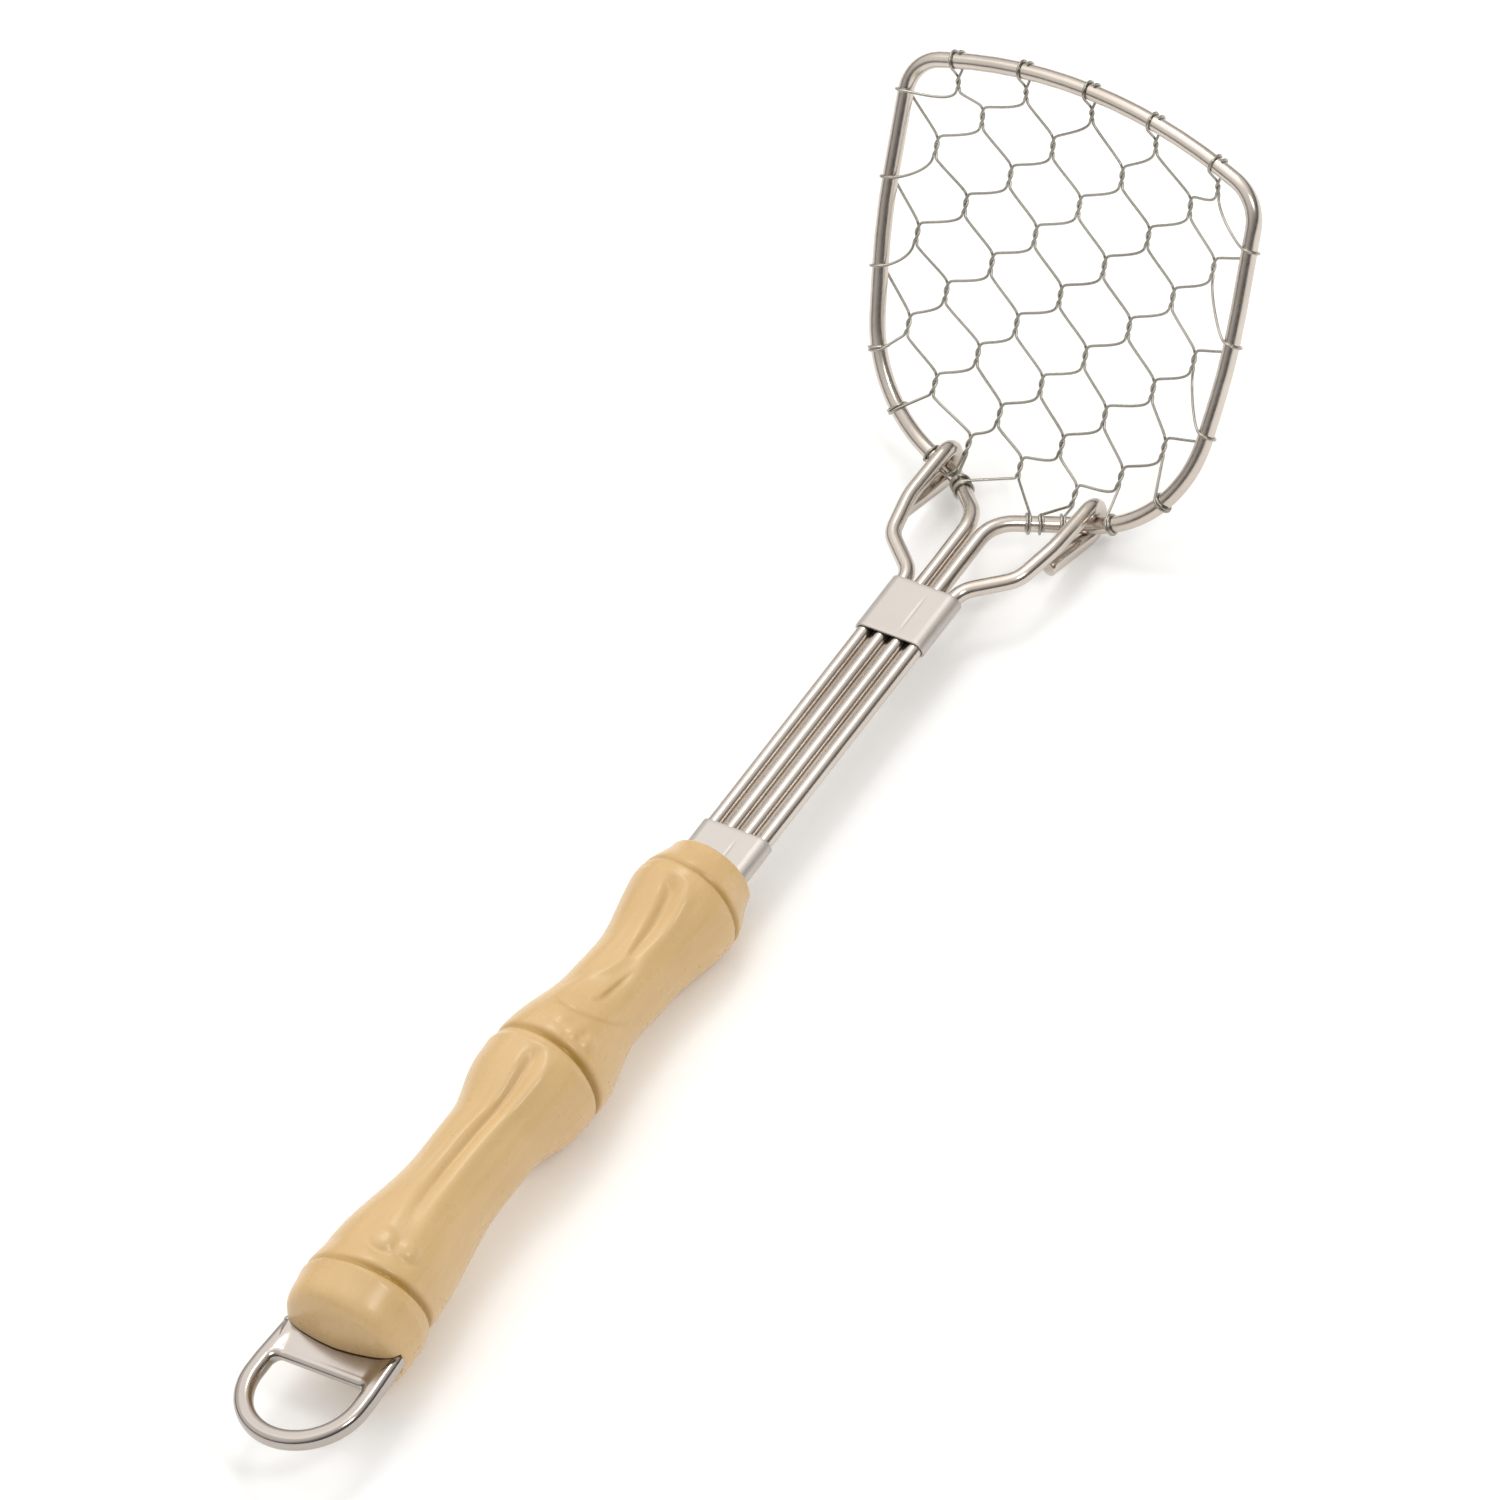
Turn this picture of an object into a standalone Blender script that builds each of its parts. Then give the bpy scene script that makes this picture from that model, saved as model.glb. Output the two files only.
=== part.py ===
"""Hand wire net skimmer: a dished net of twisted wire in a bent wire head, carried by four rods in a bamboo-shaped grip.

The tool lies face up. In the design frame X runs across it, +Y along its shaft towards the head and +Z out of its
face; Y = 0 is the grip's mouth and Z = 0 is the plane of the four rods. Every piece hangs on one empty, which lays
the tool down on its two resting places, the grip's end bulge and the two hooks.
"""

import math

import bmesh
import bpy
import numpy as np

# Rods. These and all other sizes are in metres.
ROD_DIAMETER = 0.0030
ROD_PITCH = 0.0036
ROD_DEPTH = 0.0140
FIT = 0.00012
CLEARANCE = 0.0003

# Head frame, bent in its own sloping plane: x across, v forwards from the rear edge
HEAD_REAR = (0.0, 0.0980, -0.0048)
HEAD_TILT = math.radians(52.0)
HEAD_HALF_WIDTH = 0.0380
HEAD_DEPTH = 0.0764
FRONT_EDGE_RADIUS = 0.1050
FRONT_CORNER_RADIUS = 0.0080
SIDE_SPLAY = math.radians(8.0)
SIDE_BEND_V = 0.0394
SIDE_BEND_RADIUS = 0.1300
REAR_SLOPE = math.radians(18.0)
REAR_CORNER_RADIUS = 0.0270
NECK_BEND_Y = 0.0885
NECK_BEND_RADIUS = 0.0080
NECK_FOOT_X = 0.0136
HEAD_LEAN = math.radians(2.0)

# Braces, each ending in a hook over the head frame's rear wire
BRACE_HALF_SPREAD = 0.0158
BRACE_BOW_START = 0.0726
BRACE_ELBOW = (0.0138, 0.0791)
BRACE_STRAIGHT_START = 0.0880
BRACE_BEND_RADIUS = 0.0050
HOOK_RADIUS = 0.00335
HOOK_GAP = 0.00035
HOOK_RETURN = 0.0120
HOOK_CLOSING = math.radians(19.0)
HOOK_SKEW = 0.0012

# Bands crimped round the four rods
BAND_LENGTH = 0.0123
BAND_SHEET = 0.00038
LOWER_BAND_Y = 0.00255
UPPER_BAND_Y = 0.0640

# Grip, measured from its mouth
GRIP_LENGTH = 0.1210
BULGE_RADIUS = 0.0127
BULGE_SHARE = 0.925
# Collar, upper waist, node, lower waist and necked end: (share of the grip's length, radius), eased from one to the next
GRIP_SWELLS = (
    (0.000, 0.0083),
    (0.070, 0.0107),
    (0.205, 0.0084),
    (0.285, 0.0084),
    (0.425, 0.0114),
    (0.475, 0.0114),
    (0.580, 0.0088),
    (0.660, 0.0088),
    (0.872, 0.0118),
    (BULGE_SHARE, BULGE_RADIUS),
)
GROOVES = ((0.074, 0.0007), (0.431, 0.0012), (0.882, 0.0009))
GROOVE_HALF_SHARE = 0.010
# The shallow end past the bulge: (share of the bulge's radius, share of the grip's length)
GRIP_END = ((0.975, 0.970), (0.900, 0.982), (0.660, 0.991), (0.330, 0.997))
# The crooked centre line: (share of the grip's length, height above the rods' plane)
GRIP_LINE = ((0.0, -0.0006), (0.16, -0.0009), (0.38, 0.0014), (0.62, 0.0022), (0.88, 0.0022), (1.0, 0.0006))
GRIP_SIDES = 24

# Hanging ring: one cast plate with a D-shaped eye and a tang that the grip holds
RING_HALF_WIDTH = 0.0132
RING_SHOULDER = 0.0126
RING_THICKNESS = 0.0033
RING_Z = -0.0004
RING_DROP = 0.0090
RING_EYE_RADIUS = 0.0097
RING_EYE_FLAT = 0.0042
RING_EYE_CORNER = 0.0015
RING_CROSSBAR = 0.0016
RING_EDGE_ROUND = 0.0008
RING_SEAT = 0.0036
WEB_RECESS = 0.0008
WEB_MARGIN = 0.0024
TANG_HALF_WIDTH = 0.0050
TANG_LENGTH = 0.0110

# Net: strands twisted together in pairs, sagging below the plane of the head frame
STRAND_COUNT = 10
STRAND_DIAMETER = 0.0006
STRAND_GAP = 0.0001
CELL_WIDTH = 0.0152
CELL_ROWS = 0.0085
FIRST_ROW_V = 0.0627
LAST_ROW = 8
NARROWED_ROWS = {6: 0.0141, 7: 0.0138}
ROW_DRIFT = -0.0003
ROW_LEAN = math.radians(0.7)
ROW_LEAN_GROWTH = math.radians(0.5)
# The last row's three twists stand between the hooks, each at its own (x, v)
LAST_ROW_PLACES = {1: (-0.0133, 0.0053), 2: (-0.0025, 0.0047), 3: (0.0103, 0.0041)}
TWIST_LENGTH = 0.0039
NET_SAG = 0.0037
SAG_REACH = 0.0200
TAIL_PITCH = 0.0142
TAIL_LENGTH = 0.0030
TAIL_STANDOFF = 0.0029
TAIL_SPREAD = 0.0005
WRAP_PITCH = 0.0008
FRONT_WINDING = math.radians(300.0)
REAR_WINDING = math.radians(470.0)
TWIST_STEPS = 6
WRAP_STEP = math.radians(34.0)
# Where each strand ends on the frame's rear wire, and whether it winds away from the shaft (1) or towards it (-1)
REAR_ENDS = {
    0: (-0.0340, 1),
    1: (-0.0278, 1),
    3: (-0.0106, 1),
    4: (-0.0094, -1),
    5: (0.0068, -1),
    6: (0.0080, 1),
    7: (0.0114, -1),
    8: (0.0198, 1),
    9: (0.0294, 1),
}
# The right-hand side windings sit this much further to the rear than the twists that they join
RIGHT_WRAP_DROP = 0.0020
# The one strand that passes behind a hook, between its two legs
HOOK_STRAND = 2
HOOK_STRAND_START = 0.0124
HOOK_SIDE_GAP = 0.0002

ROD_RADIUS = ROD_DIAMETER / 2
STRAND_RADIUS = STRAND_DIAMETER / 2
TWIST_RADIUS = STRAND_RADIUS + STRAND_GAP
WRAP_RADIUS = ROD_RADIUS + STRAND_RADIUS + STRAND_GAP
OUTER_ROD = 1.5 * ROD_PITCH
INNER_ROD = 0.5 * ROD_PITCH

ACROSS = np.array((1.0, 0.0, 0.0))
FORWARD = np.array((0.0, math.cos(HEAD_TILT), math.sin(HEAD_TILT)))
FACE = np.cross(ACROSS, FORWARD)

STEEL = ("rod_steel", (0.60, 0.56, 0.53), 0.22, 1.0)
BAND_STEEL = ("band_steel", (0.72, 0.69, 0.66), 0.42, 1.0)
NET_STEEL = ("net_steel", (0.50, 0.48, 0.45), 0.30, 1.0)
CAST_METAL = ("cast_metal", (0.66, 0.63, 0.60), 0.18, 1.0)
RESIN = ("grip_resin", (0.72, 0.51, 0.27), 0.35, 0.0)


# ---- scene, materials and objects ----


def clear_scene():
    for old in list(bpy.data.objects):
        bpy.data.objects.remove(old)


def collection(name):
    made = bpy.data.collections.new(name)
    bpy.context.scene.collection.children.link(made)
    return made


def material(finish):
    name, colour, roughness, metallic = finish
    made = bpy.data.materials.get(name)
    if made is None:
        made = bpy.data.materials.new(name)
        made.use_nodes = True
        shader = made.node_tree.nodes["Principled BSDF"]
        shader.inputs["Base Color"].default_value = (*colour, 1.0)
        shader.inputs["Roughness"].default_value = roughness
        shader.inputs["Metallic"].default_value = metallic
    return made


def part(name, data, home, finish):
    made = bpy.data.objects.new(name, data)
    home.objects.link(made)
    data.materials.append(material(finish))
    return made


def cutter(name, data, home):
    made = bpy.data.objects.new(name, data)
    home.objects.link(made)
    made.hide_render = True
    made.display_type = "WIRE"
    return made


def wire(name, points, radius, resolution, home, finish):
    """A round wire along a list of points, with a flat cap at each end."""
    data = bpy.data.curves.new(name, "CURVE")
    data.dimensions = "3D"
    data.bevel_depth = radius
    data.bevel_resolution = resolution
    data.use_fill_caps = True
    spline = data.splines.new("POLY")
    spline.points.add(len(points) - 1)
    for knot, point in zip(spline.points, points):
        knot.co = (*point, 1.0)
    return part(name, data, home, finish)


def flat_outline(name, outlines, thickness):
    """A 2D curve filled between its closed outlines and extruded to the thickness about its own plane."""
    data = bpy.data.curves.new(name, "CURVE")
    data.dimensions = "2D"
    data.fill_mode = "BOTH"
    data.extrude = thickness / 2
    for outline in outlines:
        spline = data.splines.new("POLY")
        spline.use_cyclic_u = True
        spline.points.add(len(outline) - 1)
        for knot, (x, y) in zip(spline.points, outline):
            knot.co = (x, y, 0.0, 1.0)
    return data


def into_mesh(source):
    """Turns a curve, or a mesh with modifiers, into one plain welded mesh in the same place."""
    bpy.context.view_layer.update()
    graph = bpy.context.evaluated_depsgraph_get()
    mesh = bpy.data.meshes.new_from_object(source.evaluated_get(graph))
    shape = bmesh.new()
    shape.from_mesh(mesh)
    bmesh.ops.remove_doubles(shape, verts=shape.verts, dist=1e-6)
    bmesh.ops.recalc_face_normals(shape, faces=shape.faces)
    shape.to_mesh(mesh)
    shape.free()
    name = source.name
    made = bpy.data.objects.new(name + "_mesh", mesh)
    made.matrix_world = source.matrix_world.copy()
    made.hide_render = source.hide_render
    made.display_type = source.display_type
    for home in source.users_collection:
        home.objects.link(made)
    bpy.data.objects.remove(source)
    made.name = name
    return made


def box_cutter(name, low, high, home):
    mesh = bpy.data.meshes.new(name)
    shape = bmesh.new()
    bmesh.ops.create_cube(shape, size=1.0)
    bmesh.ops.scale(shape, verts=shape.verts, vec=[b - a for a, b in zip(low, high)])
    shape.to_mesh(mesh)
    shape.free()
    made = cutter(name, mesh, home)
    made.location = [(a + b) / 2 for a, b in zip(low, high)]
    return made


def cut(target, tool):
    step = target.modifiers.new(tool.name, "BOOLEAN")
    step.operation = "DIFFERENCE"
    step.solver = "EXACT"
    step.object = tool


# ---- outlines and routes ----


def arc(centre, radius, start, end, count):
    """Points of a flat arc, its two ends included. Angles are in degrees."""
    angles = [math.radians(start + (end - start) * k / count) for k in range(count + 1)]
    return [(centre[0] + radius * math.cos(a), centre[1] + radius * math.sin(a)) for a in angles]


def stadium(half_width, half_height, count=8):
    """A flat oval with round ends."""
    reach = half_width - half_height
    return arc((reach, 0), half_height, -90, 90, count) + arc((-reach, 0), half_height, 90, 270, count)


def unit(vector):
    return vector / np.linalg.norm(vector)


def bent(corners, radii, step=math.radians(13.0)):
    """A bent wire's centre line: straight runs between the corners, each inner corner rounded to its own radius."""
    corners = [np.array(c, float) for c in corners]
    points = [corners[0]]
    for before, corner, after, radius in zip(corners, corners[1:], corners[2:], radii):
        arriving = unit(corner - before)
        leaving = unit(after - corner)
        turn = math.acos(float(np.clip(arriving @ leaving, -1.0, 1.0)))
        side = unit(leaving - arriving * (leaving @ arriving))
        centre = corner - arriving * radius * math.tan(turn / 2) + side * radius
        count = max(2, math.ceil(turn / step))
        for k in range(count + 1):
            angle = turn * k / count
            points.append(centre + radius * (arriving * math.sin(angle) - side * math.cos(angle)))
    points.append(corners[-1])
    return np.array(points)


class Route:
    """A centre line, with places on it given by their station: the length along it from its start."""

    def __init__(self, points):
        self.points = np.array(points, float)
        runs = np.linalg.norm(np.diff(self.points, axis=0), axis=1)
        self.stations = np.concatenate(([0.0], np.cumsum(runs)))
        self.length = float(self.stations[-1])

    def at(self, station):
        return np.array([np.interp(station, self.stations, self.points[:, k]) for k in range(3)])

    def tangent(self, station, reach=0.0004):
        return unit(self.at(station + reach) - self.at(station - reach))

    def where(self, direction, value, low, high, samples=1200):
        """The first station between low and high where the line's place along the direction passes the value."""
        tried = np.linspace(low, high, samples)
        beyond = np.array([self.at(s) @ direction for s in tried]) - value
        k = np.nonzero(np.sign(beyond[:-1]) != np.sign(beyond[1:]))[0][0]
        share = beyond[k] / (beyond[k] - beyond[k + 1])
        return float(tried[k] + share * (tried[k + 1] - tried[k]))


def head_point(x, v, lift=0.0):
    """A point of the head's sloping plane, raised by the lift towards its face. The head leans back to the right."""
    return np.array(HEAD_REAR) + x * ACROSS + (v - x * math.tan(HEAD_LEAN)) * FORWARD + lift * FACE


# ---- frame wire and braces ----


def frame_route():
    """Centre line of the one wire that is both head frame and middle rods, from the left rod's end to the right's."""
    front_angle = math.asin((HEAD_HALF_WIDTH - FRONT_CORNER_RADIUS) / FRONT_EDGE_RADIUS)
    apex_v = HEAD_DEPTH + FRONT_EDGE_RADIUS * (1 / math.cos(front_angle) - 1)
    corner_v = apex_v - HEAD_HALF_WIDTH * math.tan(front_angle)
    # The rear run leaves the neck's foot at its slope, and meets the splayed side run
    splay, slope = math.tan(SIDE_SPLAY), math.tan(REAR_SLOPE)
    rear_x = (HEAD_HALF_WIDTH - splay * (SIDE_BEND_V + slope * NECK_FOOT_X)) / (1 - splay * slope)
    rear_v = slope * (rear_x - NECK_FOOT_X)
    radii = [FRONT_CORNER_RADIUS, SIDE_BEND_RADIUS, REAR_CORNER_RADIUS, NECK_BEND_RADIUS, NECK_BEND_RADIUS]

    def half(side):
        return [
            head_point(side * HEAD_HALF_WIDTH, corner_v),
            head_point(side * HEAD_HALF_WIDTH, SIDE_BEND_V),
            head_point(side * rear_x, rear_v),
            head_point(side * NECK_FOOT_X, 0.0),
            np.array((side * INNER_ROD, NECK_BEND_Y, 0.0)),
            np.array((side * INNER_ROD, -ROD_DEPTH, 0.0)),
        ]

    corners = half(-1)[::-1] + [head_point(0.0, apex_v)] + half(1)
    return Route(bent(corners, radii[::-1] + [FRONT_EDGE_RADIUS] + radii))


def rear_station(frame, x):
    """Station of the frame's rear wire at this distance across."""
    rear_length = frame.length / 2 - HEAD_HALF_WIDTH - HEAD_DEPTH / 2
    if x < 0:
        return frame.where(ACROSS, x, 0.0, rear_length)
    return frame.where(ACROSS, x, frame.length - rear_length, frame.length)


def side_station(frame, side, x, v):
    """Station of the frame's left (-1) or right (1) side, level with a place in the head's plane."""
    middle = frame.length / 2
    near, far = 0.9 * HEAD_HALF_WIDTH, HEAD_HALF_WIDTH + HEAD_DEPTH
    ends = sorted((middle + side * near, middle + side * far))
    return frame.where(FORWARD, head_point(x, v) @ FORWARD, *ends)


def front_station(frame, x):
    middle = frame.length / 2
    return frame.where(ACROSS, x, middle - HEAD_HALF_WIDTH, middle + HEAD_HALF_WIDTH)


def brace_route(frame, side):
    """Centre line of one brace, from its rod's end to the hook's cut end under the frame's rear wire.

    Both hooks' return runs stand a little to the left of their front legs.
    """
    _, held_y, held_z = frame.at(rear_station(frame, side * BRACE_HALF_SPREAD))
    tip_y = held_y + ROD_DIAMETER + HOOK_GAP
    # The return run is tangent to the half turn and closes on the front leg
    under = held_z - HOOK_RADIUS * math.tan(math.pi / 4 + HOOK_CLOSING / 2)
    rise = (HOOK_RADIUS + HOOK_RETURN) * math.tan(HOOK_CLOSING)
    return_x = BRACE_HALF_SPREAD - side * HOOK_SKEW
    corners = [
        (OUTER_ROD, -ROD_DEPTH, 0.0),
        (OUTER_ROD, BRACE_BOW_START, 0.0),
        (*BRACE_ELBOW, 0.0),
        (BRACE_HALF_SPREAD, BRACE_STRAIGHT_START, 0.0),
        (BRACE_HALF_SPREAD, tip_y, held_z + HOOK_RADIUS),
        (return_x, tip_y, under),
        (return_x, held_y - HOOK_RETURN, under + rise),
    ]
    bend = BRACE_BEND_RADIUS
    # The hook's two arcs are a hair tighter than the half turn, so that they don't run past each other
    hook = 0.97 * HOOK_RADIUS
    return Route(bent(corners, [bend, bend, 3 * bend, hook, hook]) * (side, 1.0, 1.0))


def make_rods(frame, home):
    wire("frame_wire", frame.points, ROD_RADIUS, 3, home, STEEL)
    wire("brace_left", brace_route(frame, -1).points, ROD_RADIUS, 3, home, STEEL)
    wire("brace_right", brace_route(frame, 1).points, ROD_RADIUS, 3, home, STEEL)


def make_band(name, middle_y, home):
    """A sheet sleeve whose flat oval bore fits the row of four rods."""
    bore = (OUTER_ROD + ROD_RADIUS + FIT, ROD_RADIUS + FIT)
    outlines = [stadium(bore[0] + BAND_SHEET, bore[1] + BAND_SHEET), stadium(*bore)]
    band = part(name, flat_outline(name, outlines, BAND_LENGTH), home, BAND_STEEL)
    band.rotation_euler.x = math.radians(-90.0)
    band.location.y = middle_y


# ---- grip and ring ----


def eased(knots, share):
    """A value eased from knot to knot: level at every (share, value) knot."""
    after = next(k for k in range(1, len(knots)) if share <= knots[k][0])
    (from_share, from_value), (to_share, to_value) = knots[after - 1], knots[after]
    t = (share - from_share) / (to_share - from_share)
    return from_value + (to_value - from_value) * t * t * (3 - 2 * t)


def grip_radius(share):
    """The grip's radius at a share of its length, from the mouth to the end bulge."""
    grooves = (depth * max(0.0, 1 - abs(share - place) / GROOVE_HALF_SHARE) for place, depth in GROOVES)
    return eased(GRIP_SWELLS, share) - sum(grooves)


def grip_profile():
    """The turned profile as (radius, share of the length) from the mouth's centre to the end's centre."""
    shares = {k * BULGE_SHARE / 20 for k in range(21)}
    for place, _ in GROOVES:
        near = {s for s in shares if abs(s - place) < 1.5 * GROOVE_HALF_SHARE}
        shares = (shares - near) | {place - GROOVE_HALF_SHARE, place, place + GROOVE_HALF_SHARE}
    side = [(grip_radius(s), s) for s in sorted(shares)]
    end = [(radius_share * BULGE_RADIUS, s) for radius_share, s in GRIP_END]
    return [(0.0, 0.0)] + side + end + [(0.0, 1.0)]


def make_grip(home, cutters):
    profile = grip_profile()
    mesh = bpy.data.meshes.new("grip_profile")
    points = [(radius, 0.0, -share * GRIP_LENGTH) for radius, share in profile]
    mesh.from_pydata(points, [(k, k + 1) for k in range(len(points) - 1)], [])
    turned = part("handle_grip", mesh, home, RESIN)
    turned.rotation_euler.x = math.radians(-90.0)
    screw = turned.modifiers.new("turn", "SCREW")
    screw.steps = GRIP_SIDES
    screw.render_steps = GRIP_SIDES
    screw.use_merge_vertices = True
    screw.merge_threshold = 0.00001
    grip = into_mesh(turned)
    # Local -Y is the tool's face side
    for vertex in grip.data.vertices:
        vertex.co.y -= eased(GRIP_LINE, min(1.0, -vertex.co.z / GRIP_LENGTH))
    for tool in grip_cutters(cutters):
        cut(grip, tool)
    grip.data.shade_smooth()
    grip.data.set_sharp_from_angle(angle=math.radians(30.0))


def grip_cutters(home):
    """The socket's two depths, for the lower band and for the bare rods, and the ring's slots."""
    band_end = BAND_LENGTH / 2 - LOWER_BAND_Y
    sheet = FIT + BAND_SHEET
    sockets = (("band_socket", sheet + CLEARANCE, band_end), ("rod_socket", CLEARANCE, ROD_DEPTH))
    mouth_side = 0.0020
    for name, margin, depth in sockets:
        outline = stadium(OUTER_ROD + ROD_RADIUS + margin, ROD_RADIUS + margin)
        tool = cutter(name, flat_outline(name, [outline], depth + CLEARANCE + mouth_side), home)
        tool.rotation_euler.x = math.radians(-90.0)
        tool.location.y = (mouth_side - depth - CLEARANCE) / 2
        yield into_mesh(tool)
    wide, narrow = RING_HALF_WIDTH + CLEARANCE, TANG_HALF_WIDTH + CLEARANCE
    seat = RING_SEAT - GRIP_LENGTH + CLEARANCE
    below = -GRIP_LENGTH - RING_DROP
    right = [(wide, below), (wide, seat), (narrow, seat), (narrow, seat + TANG_LENGTH)]
    outline = right + [(-x, y) for x, y in reversed(right)]
    slot = cutter("ring_slot", flat_outline("ring_slot", [outline], RING_THICKNESS + 2 * CLEARANCE), home)
    slot.location.z = RING_Z
    yield into_mesh(slot)


def ring_outlines(seat):
    """Outer outline with its tang, and the D-shaped eye, about the centre of their common arc."""
    width, eye, corner = RING_HALF_WIDTH, RING_EYE_RADIUS, RING_EYE_CORNER
    outer = arc((0, 0), width, 180, 360, 24)
    outer += [(RING_SHOULDER, seat), (TANG_HALF_WIDTH, seat), (TANG_HALF_WIDTH, seat + TANG_LENGTH)]
    outer += [(-TANG_HALF_WIDTH, seat + TANG_LENGTH), (-TANG_HALF_WIDTH, seat), (-RING_SHOULDER, seat)]
    inner = arc((0, 0), eye, 180, 360, 20)
    inner += arc((eye - corner, RING_EYE_FLAT - corner), corner, 0, 90, 4)
    inner += arc((corner - eye, RING_EYE_FLAT - corner), corner, 90, 180, 4)
    return [outer, inner]


def make_ring(home, cutters):
    centre_y = -GRIP_LENGTH - RING_DROP
    seat = RING_SEAT - GRIP_LENGTH
    data = flat_outline("hanging_ring", ring_outlines(seat - centre_y), RING_THICKNESS)
    plate = part("hanging_ring", data, home, CAST_METAL)
    plate.location = (0.0, centre_y, RING_Z)
    ring = into_mesh(plate)
    rounding = ring.modifiers.new("round_edges", "BEVEL")
    rounding.width = RING_EDGE_ROUND
    rounding.segments = 2
    rounding.angle_limit = math.radians(50.0)
    web = RING_SHOULDER - WEB_MARGIN
    low_y = centre_y + RING_EYE_FLAT + RING_CROSSBAR
    high_y = seat - 0.0006
    half = RING_THICKNESS / 2
    for side in (-1, 1):
        floor, above = RING_Z + side * (half - WEB_RECESS), RING_Z + side * 2 * half
        low, high = sorted((floor, above))
        name = "face_recess" if side > 0 else "back_recess"
        cut(ring, box_cutter(name, (-web, low_y, low), (web, high_y, high), cutters))
    ring.data.shade_smooth()
    ring.data.set_sharp_from_angle(angle=math.radians(35.0))


# ---- net ----


class Net:
    """The twisted net: where its twists stand in the head's plane, how it sags and how its strands end."""

    def __init__(self, frame):
        self.frame = frame
        ends = [rear_station(frame, side * (INNER_ROD + ROD_RADIUS)) for side in (-1, 1)]
        self.rim = np.array([frame.at(s) for s in np.linspace(*ends, 500)])

    def point(self, x, v, across=0.0, lift=0.0):
        """A point of the sagging net. The sag grows from nothing at the frame to its full depth inside."""
        flat = head_point(x, v)
        room = min(1.0, float(np.linalg.norm(self.rim - flat, axis=1).min()) / SAG_REACH)
        sag = NET_SAG * (1 - (1 - room) ** 2)
        return flat + across * ACROSS + (lift - sag) * FACE

    def twist_place(self, row, pair):
        """Centre of one twist: (x, v)."""
        if row == 0:
            x = (pair - 2) * TAIL_PITCH
            front = (self.frame.at(front_station(self.frame, x)) - head_point(x, 0.0)) @ FORWARD
            return x, front - TAIL_STANDOFF - TAIL_LENGTH / 2
        if row == LAST_ROW:
            return LAST_ROW_PLACES[pair]
        offset = 2 if row % 2 == 0 else 1.5
        x = row * ROW_DRIFT + (pair - offset) * NARROWED_ROWS.get(row, CELL_WIDTH)
        lean = ROW_LEAN + row * ROW_LEAN_GROWTH
        return x, FIRST_ROW_V - (row - 1) * CELL_ROWS - x * math.tan(lean)

    def twist(self, strand, row):
        """One strand's full turn round its partner, from the front to the rear."""
        pair = (strand - row % 2) // 2
        start = math.pi if (strand - row % 2) % 2 == 0 else 0.0
        x, v = self.twist_place(row, pair)
        length = TAIL_LENGTH if row == 0 else TWIST_LENGTH
        points = []
        for k in range(TWIST_STEPS + 1):
            share = k / TWIST_STEPS
            angle = start + 2 * math.pi * share
            across, lift = TWIST_RADIUS * math.cos(angle), TWIST_RADIUS * math.sin(angle)
            points.append(self.point(x, v + length * (0.5 - share), across, lift))
        return points

    def wound(self, knots, toward):
        """Points wound round the frame wire through (station, angle) knots.

        Angle 0 faces the point that the strand comes from, and a quarter turn further is over the face side.
        """
        points = []
        for (station_a, angle_a), (station_b, angle_b) in zip(knots, knots[1:]):
            count = max(1, math.ceil(abs(angle_b - angle_a) / WRAP_STEP))
            for k in range(count + 1):
                station = station_a + (station_b - station_a) * k / count
                angle = angle_a + (angle_b - angle_a) * k / count
                axis = self.frame.tangent(station)
                aside = toward - self.frame.at(station)
                inward = unit(aside - axis * (aside @ axis))
                over = np.cross(axis, inward)
                over *= math.copysign(1.0, over @ FACE)
                point = self.frame.at(station) + WRAP_RADIUS * (inward * math.cos(angle) + over * math.sin(angle))
                if not points or np.linalg.norm(point - points[-1]) > STRAND_RADIUS / 2:
                    points.append(point)
        return points

    def arrival(self, station, start):
        """The angle at which a straight run from the start point lands on the winding round the frame."""
        axis = self.frame.tangent(station)
        aside = start - self.frame.at(station)
        distance = float(np.linalg.norm(aside - axis * (aside @ axis)))
        return math.acos(min(0.95, WRAP_RADIUS / distance))

    def end_wrap(self, station, direction, start, winding):
        angle = self.arrival(station, start)
        last = station + direction * WRAP_PITCH * winding / (2 * math.pi)
        return self.wound([(station, angle), (last, angle + winding)], start)

    def side_wrap(self, side, row, start, leaving_to):
        """Over the side of the frame, round it and back from underneath, towards the next row's twist."""
        pair = -1 if side < 0 else STRAND_COUNT // 2 - 1
        x, v = self.twist_place(row, pair)
        station = side_station(self.frame, side, x, v - (RIGHT_WRAP_DROP if side > 0 else 0.0))
        step = side * WRAP_PITCH / 4
        angle_in = self.arrival(station - step, start)
        angle_out = 2 * math.pi - self.arrival(station + step, leaving_to)
        return self.wound([(station - step, angle_in), (station + step, angle_out)], (start + leaving_to) / 2)

    def hook_wrap(self, start):
        """The winding that passes behind the left hook, between its legs, and closes on the hook's far side."""
        aside = ROD_RADIUS + STRAND_RADIUS + HOOK_SIDE_GAP
        places = (HOOK_STRAND_START, BRACE_HALF_SPREAD - aside, BRACE_HALF_SPREAD + HOOK_SKEW + aside)
        first, near, far = (rear_station(self.frame, -x) for x in places)
        angle = self.arrival(first, start)
        behind = math.pi - HEAD_TILT
        knots = [(first, angle), (near, behind), (far, behind), (far + WRAP_PITCH, angle + REAR_WINDING)]
        return self.wound(knots, start)

    def rear_wrap(self, strand, start):
        if strand == HOOK_STRAND:
            return self.hook_wrap(start)
        x, outward = REAR_ENDS[strand]
        direction = outward * (1 if x < 0 else -1)
        return self.end_wrap(rear_station(self.frame, x), direction, start, REAR_WINDING)

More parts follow.
